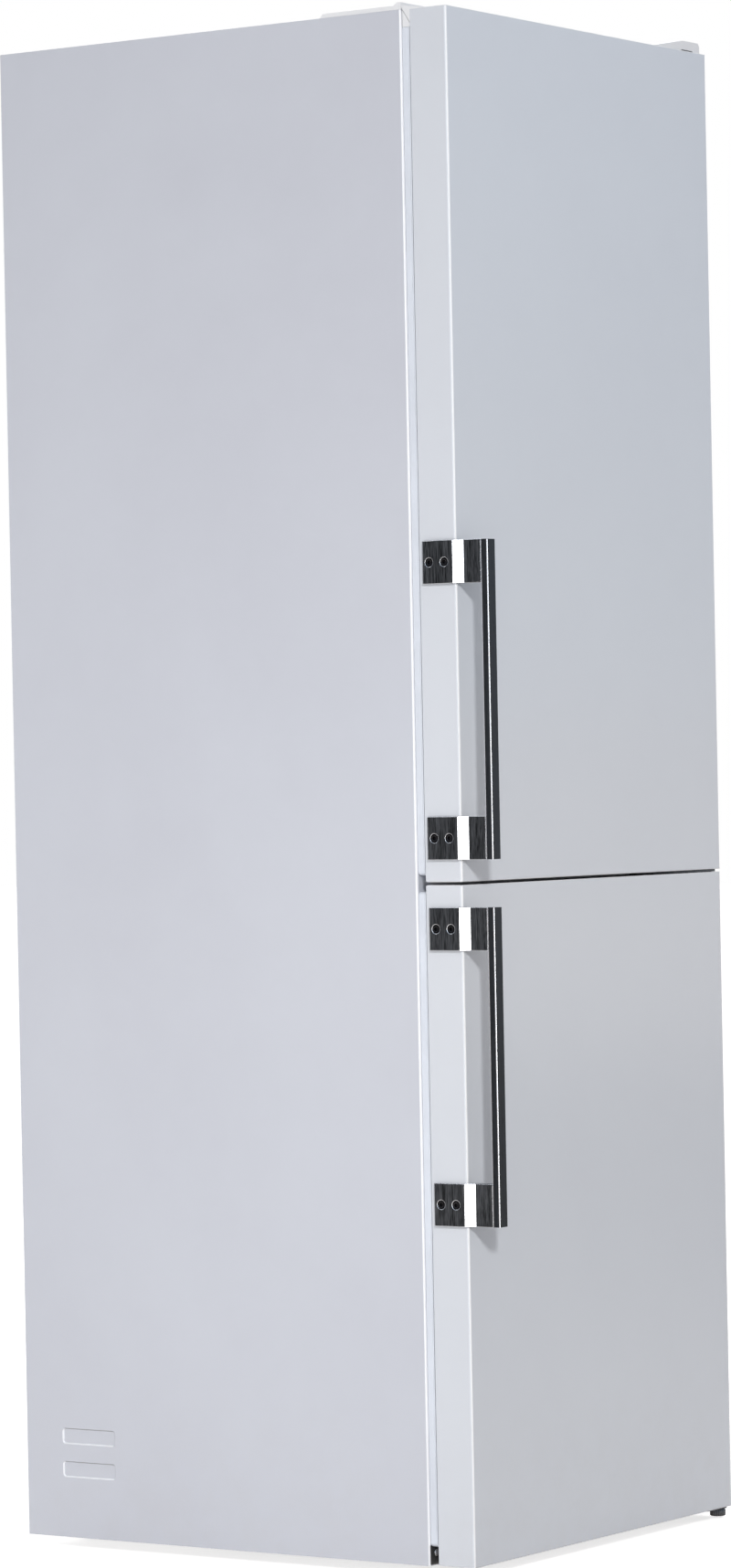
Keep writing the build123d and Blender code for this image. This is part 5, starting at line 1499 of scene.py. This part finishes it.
@dataclass
class HingeSet(SubAssembly):
    """The three hinges and all the screws that hold them.

    Attributes:
        axis: where the doors turn, as x and y.
        stop: where the doors' stop pin stands on the middle plate, and its radius.
        adjuster: where the adjuster turns under the bottom plate.
        washer: the radius and the thickness of the bright washers beside the middle plate.
        nut: the corners of the space that the CAD's plain nut fills, above the plate's lower face.
        knurls: how many teeth the adjuster nut has.
        knurl: the knurled ring's profile, as radius and height above the nut's lower end.
    """

    axis: Pair = (285.5, -281.5)
    stop: Point = (284.0, -292.0, 3.2)
    adjuster: Pair = (285.5, -292.5)
    washer: Pair = (7.5, 0.8)
    nut: tuple[Point, Point] = ((270.0, -296.0, -1.0), (300.0, -270.0, 8.4))
    knurls: int = 22
    knurl: Sequence[Pair] = ((8.6, 0.0), (9.8, 0.9), (9.8, 7.6), (8.6, 8.5))

    def build(self) -> None:
        """Dresses the hinges and sets their screws."""
        for node in ("top_hinge", "middle_hinge", "bottom_hinge"):
            cutter = self._nut_cutter() if node == "bottom_hinge" else None
            materials = [self.finishes.hinge]
            rounded(node, "plate", "cabinet", "zinc_steel", materials, Easing(0.25, 2), cutter=cutter)
        self._washers()
        self._adjuster()
        shape = Shape()
        head = ScrewHead(corners=4, socket=0.6, depth=1.3, dome=0.35)
        for screw in fasteners("hinge_screws"):
            head.add(shape, screw)
        piece = shape.build("hinge_screw_heads", [self.finishes.plated, self.finishes.plated])
        settle(piece, "cabinet", "screw_steel", "hinge_screws")

    def _washers(self) -> None:
        """Lays bright washers above and below the middle hinge's plate, and stands its stop pin."""
        low, high = span_of("lower_door_skin")[1][2], span_of("upper_door_skin")[0][2]
        radius, thick = self.washer
        shape = Shape()
        for base in (low + 0.1, high - 0.1 - thick):
            shape.lathe(eased_disc(radius, thick, 0.2), (*self.axis, base), Axis.Z, 40)
        x, y, wide = self.stop
        shape.lathe(eased_disc(wide, high - low - 0.6, 0.5), (x, y, low + 0.3), Axis.Z, 32)
        piece = shape.build("hinge_washers", [self.finishes.plated])
        settle(piece, "cabinet", "zinc_steel")

    def _nut_cutter(self) -> Shape:
        """Returns a block that takes the plain nut off the bottom hinge, for the knurled adjuster."""
        base = span_of("bottom_hinge")[0][2]
        (left, front, low), (right, back, high) = self.nut
        shape = Shape()
        shape.block((left, front, base + low), (right, back, base + high))
        return shape

    def _adjuster(self) -> None:
        """Turns the knurled adjuster in the nose of the bottom hinge."""
        base = span_of("bottom_hinge")[0][2]
        shape = Shape()
        teeth = toothed(self.knurls, 0.07, (1, 2))
        shape.lathe(self.knurl, (*self.adjuster, base), Axis.Z, self.knurls * 6, 0, teeth)
        piece = shape.build("hinge_adjuster_knurled", [self.finishes.hinge])
        settle(piece, "cabinet", "zinc_steel")


@dataclass
class DoorPanel(DoorPart):
    """One door's skin, end caps, foam and formed liner.

    Attributes:
        skin_easing: how the skin's edges are rounded; the rounding takes the paler enamel, a painted
            highlight.
        cap_easing: how the end caps' edges are rounded.
        liner_easing: how the liner's edges are rounded.
        rim: how far the caps' rim lies in from the skin, how proud it stands and how wide it is.
        web: the corners of the web that closes the upper cap's wing at its open end, as y and z.
        web_span: where the web lies along x.
    """

    skin_easing: Easing = Easing(0.45, 3, 1)
    cap_easing: Easing = Easing(0.5, 2)
    liner_easing: Easing = Easing(0.7, 3)
    rim: Point = (0.6, 0.7, 2.0)
    web: Sequence[Pair] = ((-256.4, 1815.0), (-245.3, 1815.0), (-245.3, 1835.6), (-256.4, 1818.6))
    web_span: Pair = (-296.4, -293.0)

    def build(self) -> None:
        """Dresses the door."""
        body = self.door.body
        # the second, paler enamel is a painted highlight on the skin's rounded edges and the front of its
        # upright folds
        enamels = [self.finishes.door, self.finishes.door_fold]
        skin, caps, liner = (self.door.node(piece) for piece in ("door_skin", "door_caps", "door_liner"))
        rounded(skin, "folded", body, "door_paint", enamels, self.skin_easing, self.finish_of)
        paint(self.door.node("door_foam"), self.finishes.foam)
        rounded(caps, "moulding", body, "white_plastic", [self.finishes.white], self.cap_easing)
        rounded(liner, "formed", body, "liner_plastic", [self.finishes.liner], self.liner_easing)
        self._rims()
        if self.door is Door.UPPER:
            shape = Shape()
            shape.prism(self.web, self.web_span, Axis.X)
            piece = shape.build("wing_end_web", [self.finishes.white], Easing(0.4, 2))
            settle(piece, body, "white_plastic")

    @staticmethod
    def finish_of(face: bmesh.types.BMFace) -> int:
        """Returns 1 for the part of the skin's upright folds that turns towards the front, which takes the
        paler enamel as a painted highlight.
        """
        x, y, z = face.normal
        return int(abs(z) < 0.1 and 0.1 < abs(x) < 0.75 and y < -0.6)

    def _rims(self) -> None:
        """Runs the caps' white rim round the front and the sides of the door, above and below its skin."""
        low, high = span_of(self.door.node("door_skin"))
        inset, proud, wide = self.rim
        left, right, front = low[0] + inset, high[0] - inset, low[1] + inset
        back = high[1] - 1.0
        outline = [
            (left, front), (right, front), (right, back), (right - wide, back),
            (right - wide, front + wide), (left + wide, front + wide), (left + wide, back), (left, back),
        ]
        shape = Shape()
        for start, end in ((low[2] - proud, low[2] + proud), (high[2] - proud, high[2] + proud)):
            shape.prism(outline, (start, end), Axis.Z)
        piece = shape.build(f"{self.door.value}_door_cap_rims", [self.finishes.white], Easing(0.2, 2))
        settle(piece, self.door.body, "white_plastic")


@dataclass
class DoorSeal(DoorPart):
    """The magnetic seal around a door, with its bellows.

    Attributes:
        width: the seal's width where it touches the cabinet.
        spread: how far its bellows and its foot reach out past the CAD's outer edge.
        corner: the radius of its outer corner.
        turns: how many steps each corner has.
    """

    width: float = 16.0
    spread: float = 3.0
    corner: float = 3.0
    turns: int = 4

    def section(self, back: float, front: float) -> list[Pair]:
        """Returns the seal's section, as how far in from its outer edge and where along y.

        Args:
            back: the y where it lies on the door.
            front: the y where it touches the cabinet.
        """
        deep = front - back
        width = self.width
        out = -self.spread / width
        shares = [
            (out + 0.34, 0.0), (out + 0.3, 0.1), (out + 0.1, 0.13), (out + 0.02, 0.17), (out, 0.22),
            (out + 0.02, 0.28), (out + 0.05, 0.33), (out + 0.04, 0.5), (out + 0.04, 0.7),
            (out + 0.04, 0.95), (out + 0.09, 1.0), (0.44, 0.985), (0.5, 0.95), (0.56, 0.985),
            (0.86, 1.0), (0.93, 0.92), (0.95, 0.72), (0.88, 0.6), (0.72, 0.5),
            (0.72, 0.4), (0.9, 0.28), (1.0, 0.14), (0.96, 0.0),
        ]
        return [(inward * width, back + rise * deep) for inward, rise in shares]

    def build(self) -> None:
        """Sweeps the section round the door."""
        node = self.door.node("seal")
        low, high = span_of(node)
        half = high[0]
        rows = []
        corners = ((half, high[2], 0), (-half, high[2], 1), (-half, low[2], 2), (half, low[2], 3))
        for x, z, quarter in corners:
            for step in range(self.turns + 1):
                turn = math.pi / 2 * (quarter + step / self.turns)
                row = []
                for inward, y in self.section(low[1], high[1]):
                    out = max(self.corner, inward)
                    middle = (x - math.copysign(out, x), z - out if quarter < 2 else z + out)
                    reach = out - inward
                    row.append((middle[0] + reach * math.cos(turn), y, middle[1] + reach * math.sin(turn)))
                rows.append(row)
        shape = Shape()
        shape.rings(rows, closed=True)
        piece = shape.build(f"{node}_bellows", [self.finishes.seal])
        settle(piece, self.door.body, "seal_rubber", node)


@dataclass
class Handle(DoorPart):
    """A bar handle on two brackets that wrap round the door's edge.

    Attributes:
        chamfer: how far the bar's bright chamfers reach along x and along y.
        slant: the way that the bracket's polished face looks.
    """

    chamfer: Pair = (0.75, 1.15)
    slant: Point = (-0.843, -0.537, 0.0)

    def build(self) -> None:
        """Builds the bar, the brackets and the screws."""
        self._bar()
        self._brackets()
        self._screws()

    def _bar(self) -> None:
        """Builds the bar with a polished chamfer down each long edge."""
        node = self.door.node("handle_bar")
        low, high = span_of(node)
        across, along = self.chamfer
        outline = [
            (low[0] + across, low[1]), (high[0] - across, low[1]),
            (high[0], low[1] + along), (high[0], high[1] - along),
            (high[0] - across, high[1]), (low[0] + across, high[1]),
            (low[0], high[1] - along), (low[0], low[1] + along),
        ]
        shape = Shape()
        shape.prism(outline, (low[2], high[2]), Axis.Z, 0, [0, 1, 0, 1, 0, 1, 0, 1])
        materials = [self.finishes.satin, self.finishes.polished]
        piece = shape.build(f"{node}_metal", materials, Easing(0.12, 1))
        settle(piece, self.door.body, "handle_metal", node)

    def _brackets(self) -> None:
        """Rounds the brackets, with bright edges and a polished slanted face."""
        node = self.door.node("handle_brackets")
        slant = Vector(self.slant)

        def finish_of(face: bmesh.types.BMFace) -> int:
            """Returns 1 for the slanted face and 0 for the rest."""
            return int(face.normal.dot(slant) > 0.97 and face.calc_area() > 1e-4)

        materials = [self.finishes.brushed, self.finishes.polished]
        easing = Easing(0.25, 2, 1, 30.0)
        rounded(node, "metal", self.door.body, "handle_metal", materials, easing, finish_of)

    def _screws(self) -> None:
        """Sets a black socket screw in each seat."""
        node = self.door.node("handle_screws")
        shape = Shape()
        head = ScrewHead(corners=6, socket=0.52, depth=2.4, dome=0.13)
        for screw in fasteners(node):
            head.add(shape, screw)
        piece = shape.build(f"{node}_black", [self.finishes.blackened, self.finishes.worn])
        settle(piece, self.door.body, "screw_steel", node)


@dataclass
class DoorBins(SubAssembly):
    """The three clear bins on the fridge door, with ribs down their fronts.

    Attributes:
        rib_pitch: the distance between ribs.
        rib: how far a rib stands out.
    """

    rib_pitch: float = 27.0
    rib: float = 1.1

    def build(self) -> None:
        """Dresses the bins."""
        for node in ("top_bin", "middle_bin", "bottle_bin"):
            rounded(node, "clear", "upper_door", "clear_plastic", [self.finishes.clear], Easing(0.6, 2))
            low, high = span_of(node)
            shape = upright_ribs(
                high[0] - low[0] - 40, self.rib_pitch, (self.rib, self.rib * 0.5),
                (high[1] - 0.2, high[1] + self.rib), (low[2] + 6, high[2] - 12),
            )
            ribs = shape.build(f"{node}_ribs", [self.finishes.clear], Easing(0.3, 2))
            settle(ribs, "upper_door", "clear_plastic")


@dataclass
class Drawer(SubAssembly):
    """A clear drawer with a finger grip cut through its front.

    Attributes:
        node: its CAD node.
        body: the body that it rides on.
        grip: the grip's width and height.
        drop: how far the grip lies below the drawer's rim.
        rib_pitch: the distance between the ribs on its front.
    """

    node: str
    body: str
    grip: Pair = (150.0, 24.0)
    drop: float = 16.0
    rib_pitch: float = 21.0

    def build(self) -> None:
        """Cuts the grip, rounds the edges and adds the ribs below the grip."""
        low, high = span_of(self.node)
        width, tall = self.grip
        top = high[2] - self.drop
        cutter = Shape()
        outline = rounded_outline((-width / 2, top - tall), (width / 2, top), tall / 2 - 0.5, 8)
        cutter.prism(outline, (low[1] - 5, low[1] + 8), Axis.Y)
        materials = [self.finishes.clear]
        rounded(self.node, "clear", self.body, "clear_plastic", materials, Easing(0.7, 2), cutter=cutter)
        face = low[1] + 0.15
        shape = upright_ribs(
            high[0] - low[0] - 90, self.rib_pitch, (1.4, 0.6), (face, face - 0.8),
            (low[2] + 18, top - tall - 14),
        )
        ribs = shape.build(f"{self.node}_ribs", materials, Easing(0.25, 2))
        settle(ribs, self.body, "clear_plastic")


@dataclass
class FridgeInterior(SubAssembly):
    """The fridge's liner, shelves, air duct and crisper.

    Attributes:
        liner_easing: how the liner's edges are rounded.
        vent: the width and height of one slot of the air duct.
        vent_rows: how many groups of slots the duct has.
        vent_slots: how many slots a group has.
    """

    liner_easing: Easing = Easing(0.8, 3)
    vent: Pair = (56.0, 5.0)
    vent_rows: int = 4
    vent_slots: int = 4

    def build(self) -> None:
        """Dresses the interior."""
        rounded(
            "fridge_liner", "formed", "cabinet", "liner_plastic", [self.finishes.liner], self.liner_easing
        )
        self._shelves()
        self._duct()
        Drawer(self.finishes, "crisper_drawer", "crisper", grip=(190.0, 26.0), rib_pitch=24.0).build()

    def _shelves(self) -> None:
        """Gives the shelves green glass edges and the trims their rounded fronts."""
        glass_shelves("fridge_shelves", self.finishes)
        rounded("shelf_trims", "moulding", "cabinet", "trim_plastic", [self.finishes.trim], Easing(0.9, 3))

    def _duct(self) -> None:
        """Cuts rows of slots into the front of the air duct."""
        low, high = span_of("air_duct")
        width, tall = self.vent
        cutter = Shape()
        for row in range(self.vent_rows):
            middle = low[2] + (high[2] - low[2]) * (row + 0.5) / self.vent_rows
            for slot in range(self.vent_slots):
                z = middle + (slot - (self.vent_slots - 1) / 2) * tall * 2.2
                ends = ((-width / 2, z - tall / 2), (width / 2, z + tall / 2))
                outline = rounded_outline(*ends, tall / 2 - 0.2, 4)
                cutter.prism(outline, (low[1] - 3, low[1] + 6), Axis.Y)
        materials = [self.finishes.white]
        rounded("air_duct", "moulding", "cabinet", "white_plastic", materials, Easing(0.5, 2), cutter=cutter)


def glass_shelves(node: str, finishes: Finishes) -> None:
    """Copies glass shelves with the green edge that thick glass has.

    Args:
        node: the shelves' CAD node.
        finishes: the finishes.
    """
    rounded(
        node, "glass", "cabinet", "shelf_glass", [finishes.glass, finishes.glass_edge], Easing(0.6, 2, 1),
        lambda face: 0 if abs(face.normal.z) > 0.7 else 1,
    )


@dataclass
class ControlPanel(SubAssembly):
    """The housing under the fridge's ceiling, with its lamp lens and its thermostat.

    Attributes:
        flutes: how many flutes the knob's grip has.
        ticks: how many marks lie round the knob.
        numbers: the numbers on the knob's face.
        dial: where the dial starts and how far it runs, in degrees.
        lens_ribs: how many prisms the lens has.
    """

    flutes: int = 20
    ticks: int = 11
    numbers: Sequence[str] = ("0", "1", "2", "3", "4", "5")
    dial: Pair = (225.0, 270.0)
    lens_ribs: int = 16

    def build(self) -> None:
        """Builds the panel."""
        materials = [self.finishes.white]
        rounded("control_housing", "moulding", "cabinet", "white_plastic", materials, Easing(0.9, 3))
        self._knob()
        self._marks()
        self._lens()

    def _turn(self, step: int, count: int) -> float:
        """Returns the angle of one of a number of even steps round the dial."""
        start, sweep = self.dial
        return math.radians(start - sweep * step / (count - 1))

    def _knob(self) -> None:
        """Turns the fluted knob with a grip bar across its face."""
        low, high = span_of("thermostat_knob")
        middle = middle_of("thermostat_knob")
        radius = (high[0] - low[0]) / 2
        centre = (middle[0], low[1], middle[2])
        deep = high[1] - low[1]
        shaft = deep * 0.55
        shape = Shape()
        profile = [
            (radius * 0.3, deep), (radius * 0.3, shaft + 4.0), (radius * 0.94, shaft + 4.0),
            (radius, shaft + 2.5), (radius, 3.0), (radius * 0.96, 1.6), (radius * 0.86, 1.0),
            (radius * 0.5, 0.9),
        ]
        flutes = toothed(self.flutes, 0.045, (3, 4))
        shape.lathe(profile, centre, Axis.Y, self.flutes * 8, 0, flutes)
        wide, long = radius * 0.15, radius * 0.5
        ends = ((centre[0] - wide, centre[2] - long), (centre[0] + wide, centre[2] + long))
        shape.prism(rounded_outline(*ends, wide - 0.1), (low[1], low[1] + 2.0), Axis.Y)
        piece = shape.build("thermostat_knob_fluted", [self.finishes.knob])
        settle(piece, "knob", "knob_plastic", "thermostat_knob")
        self._numbers(centre, radius)

    def _numbers(self, centre: Point, radius: float) -> None:
        """Prints the numbers round the knob's face."""
        for step, text in enumerate(self.numbers):
            turn = self._turn(step, len(self.numbers))
            x = centre[0] + radius * 0.7 * math.cos(turn)
            z = centre[2] + radius * 0.7 * math.sin(turn)
            data = bpy.data.curves.new(f"dial_number_{text}", "FONT")
            data.body = text
            data.size = radius * 0.32 * MM
            data.extrude = 0.05 * MM
            data.align_x = "CENTER"
            data.align_y = "CENTER"
            data.materials.append(self.finishes.print)
            number = bpy.data.objects.new(f"dial_number_{text}", data)
            number.location = (x * MM, (centre[1] + 0.93) * MM, z * MM)
            number.rotation_euler = (math.pi / 2, 0.0, 0.0)
            bpy.context.scene.collection.objects.link(number)
            settle(number, "knob", "knob_plastic")

    def _marks(self) -> None:
        """Raises a ring of small marks round the knob, longer at its two ends."""
        low, high = span_of("thermostat_knob")
        middle = middle_of("thermostat_knob")
        radius = (high[0] - low[0]) / 2
        face = span_of("control_housing")[0][1]
        shape = Shape()
        for step in range(self.ticks):
            turn = self._turn(step, self.ticks)
            long = 2.4 if step in (0, self.ticks - 1) else 1.5
            along = Vector((math.cos(turn), math.sin(turn)))
            side = Vector((-along.y, along.x)) * 0.25
            near = Vector((middle[0], middle[2])) + along * (radius + 0.7)
            far = near + along * long
            outline = [tuple(near - side), tuple(near + side), tuple(far + side), tuple(far - side)]
            shape.prism(outline, (face - 0.12, face + 0.2), Axis.Y)
        piece = shape.build("dial_marks", [self.finishes.print])
        settle(piece, "cabinet", "white_plastic")

    def _lens(self) -> None:
        """Builds the lens as a rounded cover with prisms along it."""
        low, high = span_of("lamp_lens")
        shape = Shape()
        pitch = (high[0] - low[0] - 6) / self.lens_ribs
        outline = [(low[0], high[2]), (low[0], low[2] + 1.6), (low[0] + 1.2, low[2] + 0.6)]
        for step in range(self.lens_ribs):
            x = low[0] + 3 + step * pitch
            outline += [(x, low[2] + 0.9), (x + pitch / 2, low[2])]
        outline += [
            (high[0] - 3, low[2] + 0.9), (high[0] - 1.2, low[2] + 0.6), (high[0], low[2] + 1.6),
            (high[0], high[2]),
        ]
        shape.prism(outline, (low[1], high[1]), Axis.Y)
        piece = shape.build("lamp_lens_prisms", [self.finishes.lens])
        settle(piece, "cabinet", "lens_plastic", "lamp_lens")


@dataclass
class FreezerInterior(SubAssembly):
    """The freezer's liner, shelves, drawers, evaporator and fan.

    Attributes:
        blades: how many blades the fan has.
        sweep: how far a blade is swept back, in degrees.
        hub: the hub's share of the fan's reach.
        clearance: how far the blades' tips stay inside the CAD's rotor.
        steps: how many steps a blade has from its root to its tip.
        section: a blade's section, as a share of its half width and a height in millimetres.
    """

    blades: int = 7
    sweep: float = 34.0
    hub: float = 0.34
    clearance: float = 1.5
    steps: int = 10
    section: Sequence[Pair] = (
        (-1.0, -0.5), (-0.4, -0.5), (0.4, -0.5), (1.0, -0.5),
        (1.0, 0.5), (0.4, 0.5), (-0.4, 0.5), (-1.0, 0.5),
    )

    def build(self) -> None:
        """Dresses the interior."""
        rounded("freezer_liner", "formed", "cabinet", "liner_plastic", [self.finishes.liner], Easing(0.8, 3))
        glass_shelves("freezer_shelves", self.finishes)
        for level in ("top", "middle", "bottom"):
            Drawer(self.finishes, f"{level}_freezer_drawer", f"{level}_drawer").build()
        for node, slot, material in (
            ("evaporator_cover", "white_plastic", self.finishes.white),
            ("fan_motor", "motor_plastic", self.finishes.motor),
        ):
            rounded(node, "moulding", "cabinet", slot, [material], Easing(0.5, 2))
        paint("evaporator", self.finishes.fins)
        self._fan()

    def _fan(self) -> None:
        """Builds the fan with swept, twisted blades on a domed hub."""
        low, high = span_of("fan_rotor")
        middle = middle_of("fan_rotor")
        centre = (middle[0], low[1], middle[2] - self.clearance)
        reach = (high[0] - low[0]) / 2 - self.clearance
        deep = high[1] - low[1]
        hub = reach * self.hub
        shape = Shape()
        shape.lathe(
            [(2.2, deep), (hub, deep), (hub, 2.2), (hub * 0.9, 0.8), (hub * 0.6, 0.2), (2.2, 0.0)],
            centre, Axis.Y, 48,
        )
        for blade in range(self.blades):
            start = math.tau * blade / self.blades
            rows = []
            for step in range(self.steps + 1):
                share = step / self.steps
                radius = hub * 0.9 + (reach - hub * 0.9) * share
                back = math.radians(self.sweep) * share * share
                half = math.radians(17.0 + 5.0 * math.sin(math.pi * share))
                pitch = (0.42 - 0.2 * share) * deep
                row = []
                for side, skin in self.section:
                    turn = start + back + side * half
                    camber = (1 - side * side) * 1.4
                    y = centre[1] + deep / 2 + side * pitch + camber + skin
                    row.append((centre[0] + radius * math.cos(turn), y, centre[2] + radius * math.sin(turn)))
                rows.append(row)
            shape.rings(rows)
        piece = shape.build("fan_rotor_swept", [self.finishes.fan])
        settle(piece, "fan", "fan_plastic", "fan_rotor")


@dataclass
class MachineBay(SubAssembly):
    """The compressor and everything round it, and the condenser on the back.

    Attributes:
        ridges: how many ridges each rubber mount has.
        mount_radius: the radius of a mount.
    """

    ridges: int = 3
    mount_radius: float = 10.0

    def build(self) -> None:
        """Dresses the machine bay."""
        finishes = self.finishes
        for node, suffix, slot, material, easing in (
            ("compressor_plate", "sheet", "zinc_steel", finishes.zinc, Easing(0.25, 2)),
            ("compressor", "shell", "black_enamel", finishes.black, Easing(0.6, 2)),
            ("drip_tray", "moulding", "black_plastic", finishes.plastic, Easing(0.5, 2)),
            ("terminal_box", "moulding", "black_plastic", finishes.plastic, Easing(1.2, 3)),
            ("cord_gland", "moulding", "black_plastic", finishes.plastic, Easing(0.5, 2)),
        ):
            rounded(node, suffix, "cabinet", slot, [material], easing)
        paint("condenser", finishes.black)
        paint("pipework", finishes.copper)
        self._mounts()

    def _mounts(self) -> None:
        """Turns the four ridged rubber mounts."""
        low, high = span_of("compressor_mounts")
        radius = self.mount_radius
        rise = (high[2] - low[2]) / self.ridges
        profile = [(radius * 0.9, 0.0)]
        for ridge in range(self.ridges):
            for share, level in ((1.0, 0.2), (1.0, 0.6), (0.84, 0.8), (0.84, 1.0)):
                profile.append((radius * share, (ridge + level) * rise))
        shape = Shape()
        for x in (low[0] + radius, high[0] - radius):
            for y in (low[1] + radius, high[1] - radius):
                shape.lathe(profile, (x, y, low[2]), Axis.Z, 36)
        piece = shape.build("compressor_mounts_ridged", [self.finishes.mount])
        settle(piece, "cabinet", "mount_rubber", "compressor_mounts")


@dataclass
class Footing(SubAssembly):
    """The two rollers at the back and the two levelling feet at the front.

    Attributes:
        knurls: how many knurls a foot's pad has.
        pad: the height of a foot's pad.
        stud: the radius of its stud.
        thread_pitch: the pitch of a foot's thread.
    """

    knurls: int = 24
    pad: float = 10.0
    stud: float = 4.0
    thread_pitch: float = 1.5

    def build(self) -> None:
        """Builds the rollers and the feet."""
        for side in ("left", "right"):
            self._roller(side)
            self._foot(side)

    def _roller(self, side: str) -> None:
        """Turns a roller with a grooved tread and dished sides."""
        node = f"{side}_roller"
        low, high = span_of(node)
        wide = high[0] - low[0]
        radius = (high[2] - low[2]) / 2
        centre = (low[0], *middle_of(node)[1:])
        half = [
            (3.3, 0.0), (radius * 0.42, 0.0), (radius * 0.46, 0.6), (radius * 0.5, 2.2), (radius * 0.78, 2.2),
            (radius * 0.84, 0.5), (radius * 0.92, 0.0), (radius * 0.985, 0.5), (radius, 1.3),
            (radius, wide * 0.36), (radius - 0.7, wide * 0.4), (radius - 0.7, wide * 0.46),
        ]
        profile = half + [(reach, wide - along) for reach, along in reversed(half)]
        shape = Shape()
        shape.lathe(profile, centre, Axis.X, 64, closed=True)
        piece = shape.build(f"{node}_wheel", [self.finishes.plastic])
        settle(piece, f"{side}_wheel", "black_plastic", node)

    def _foot(self, side: str) -> None:
        """Turns a foot with a knurled pad, a hexagon and a threaded stud."""
        node = f"{side}_foot"
        low, high = span_of(node)
        radius = (high[0] - low[0]) / 2
        centre = (*middle_of(node)[:2], 0.0)
        tall, stud = self.pad, self.stud
        profile = [
            (radius * 0.9, 0.0), (radius, 0.8), (radius, tall - 1.6), (radius * 0.94, tall - 0.4),
            (radius * 0.8, tall), (radius * 0.3, tall),
        ]
        shape = Shape()
        shape.lathe(profile, centre, Axis.Z, self.knurls * 6, 0, toothed(self.knurls, 0.04, (1, 2)))
        nut = [
            (stud * 1.85, tall - 0.2), (stud * 1.95, tall + 0.5), (stud * 1.95, tall + 3.4),
            (stud * 1.7, tall + 4.0),
        ]
        shape.lathe(nut, centre, Axis.Z, 48, 1, lambda number, angle: hexagon(angle))
        rings = []
        z = tall + 3.6
        while z < high[2] - self.thread_pitch:
            rings += [(stud, z), (stud - 0.55, z + self.thread_pitch / 2)]
            z += self.thread_pitch
        shape.lathe(rings + [(stud * 0.8, high[2])], centre, Axis.Z, 32, 1)
        piece = shape.build(f"{node}_knurled", [self.finishes.plastic, self.finishes.bright_screw])
        settle(piece, f"{side}_leg", "black_plastic", node)


def main() -> None:
    """Builds the studio and dresses every piece of the fridge freezer."""
    logging.basicConfig(level=logging.INFO, format="%(name)s: %(message)s")
    Studio().build()
    finishes = Finishes(Effects())
    for sub_assembly in (CabinetShell, HingeSet):
        sub_assembly(finishes).build()
    for door in Door:
        for door_part in (DoorPanel, DoorSeal, Handle):
            door_part(finishes, door).build()
    for sub_assembly in (DoorBins, FridgeInterior, ControlPanel, FreezerInterior, MachineBay, Footing):
        sub_assembly(finishes).build()
    bpy.context.view_layer.update()


if __name__ == "__main__":
    main()
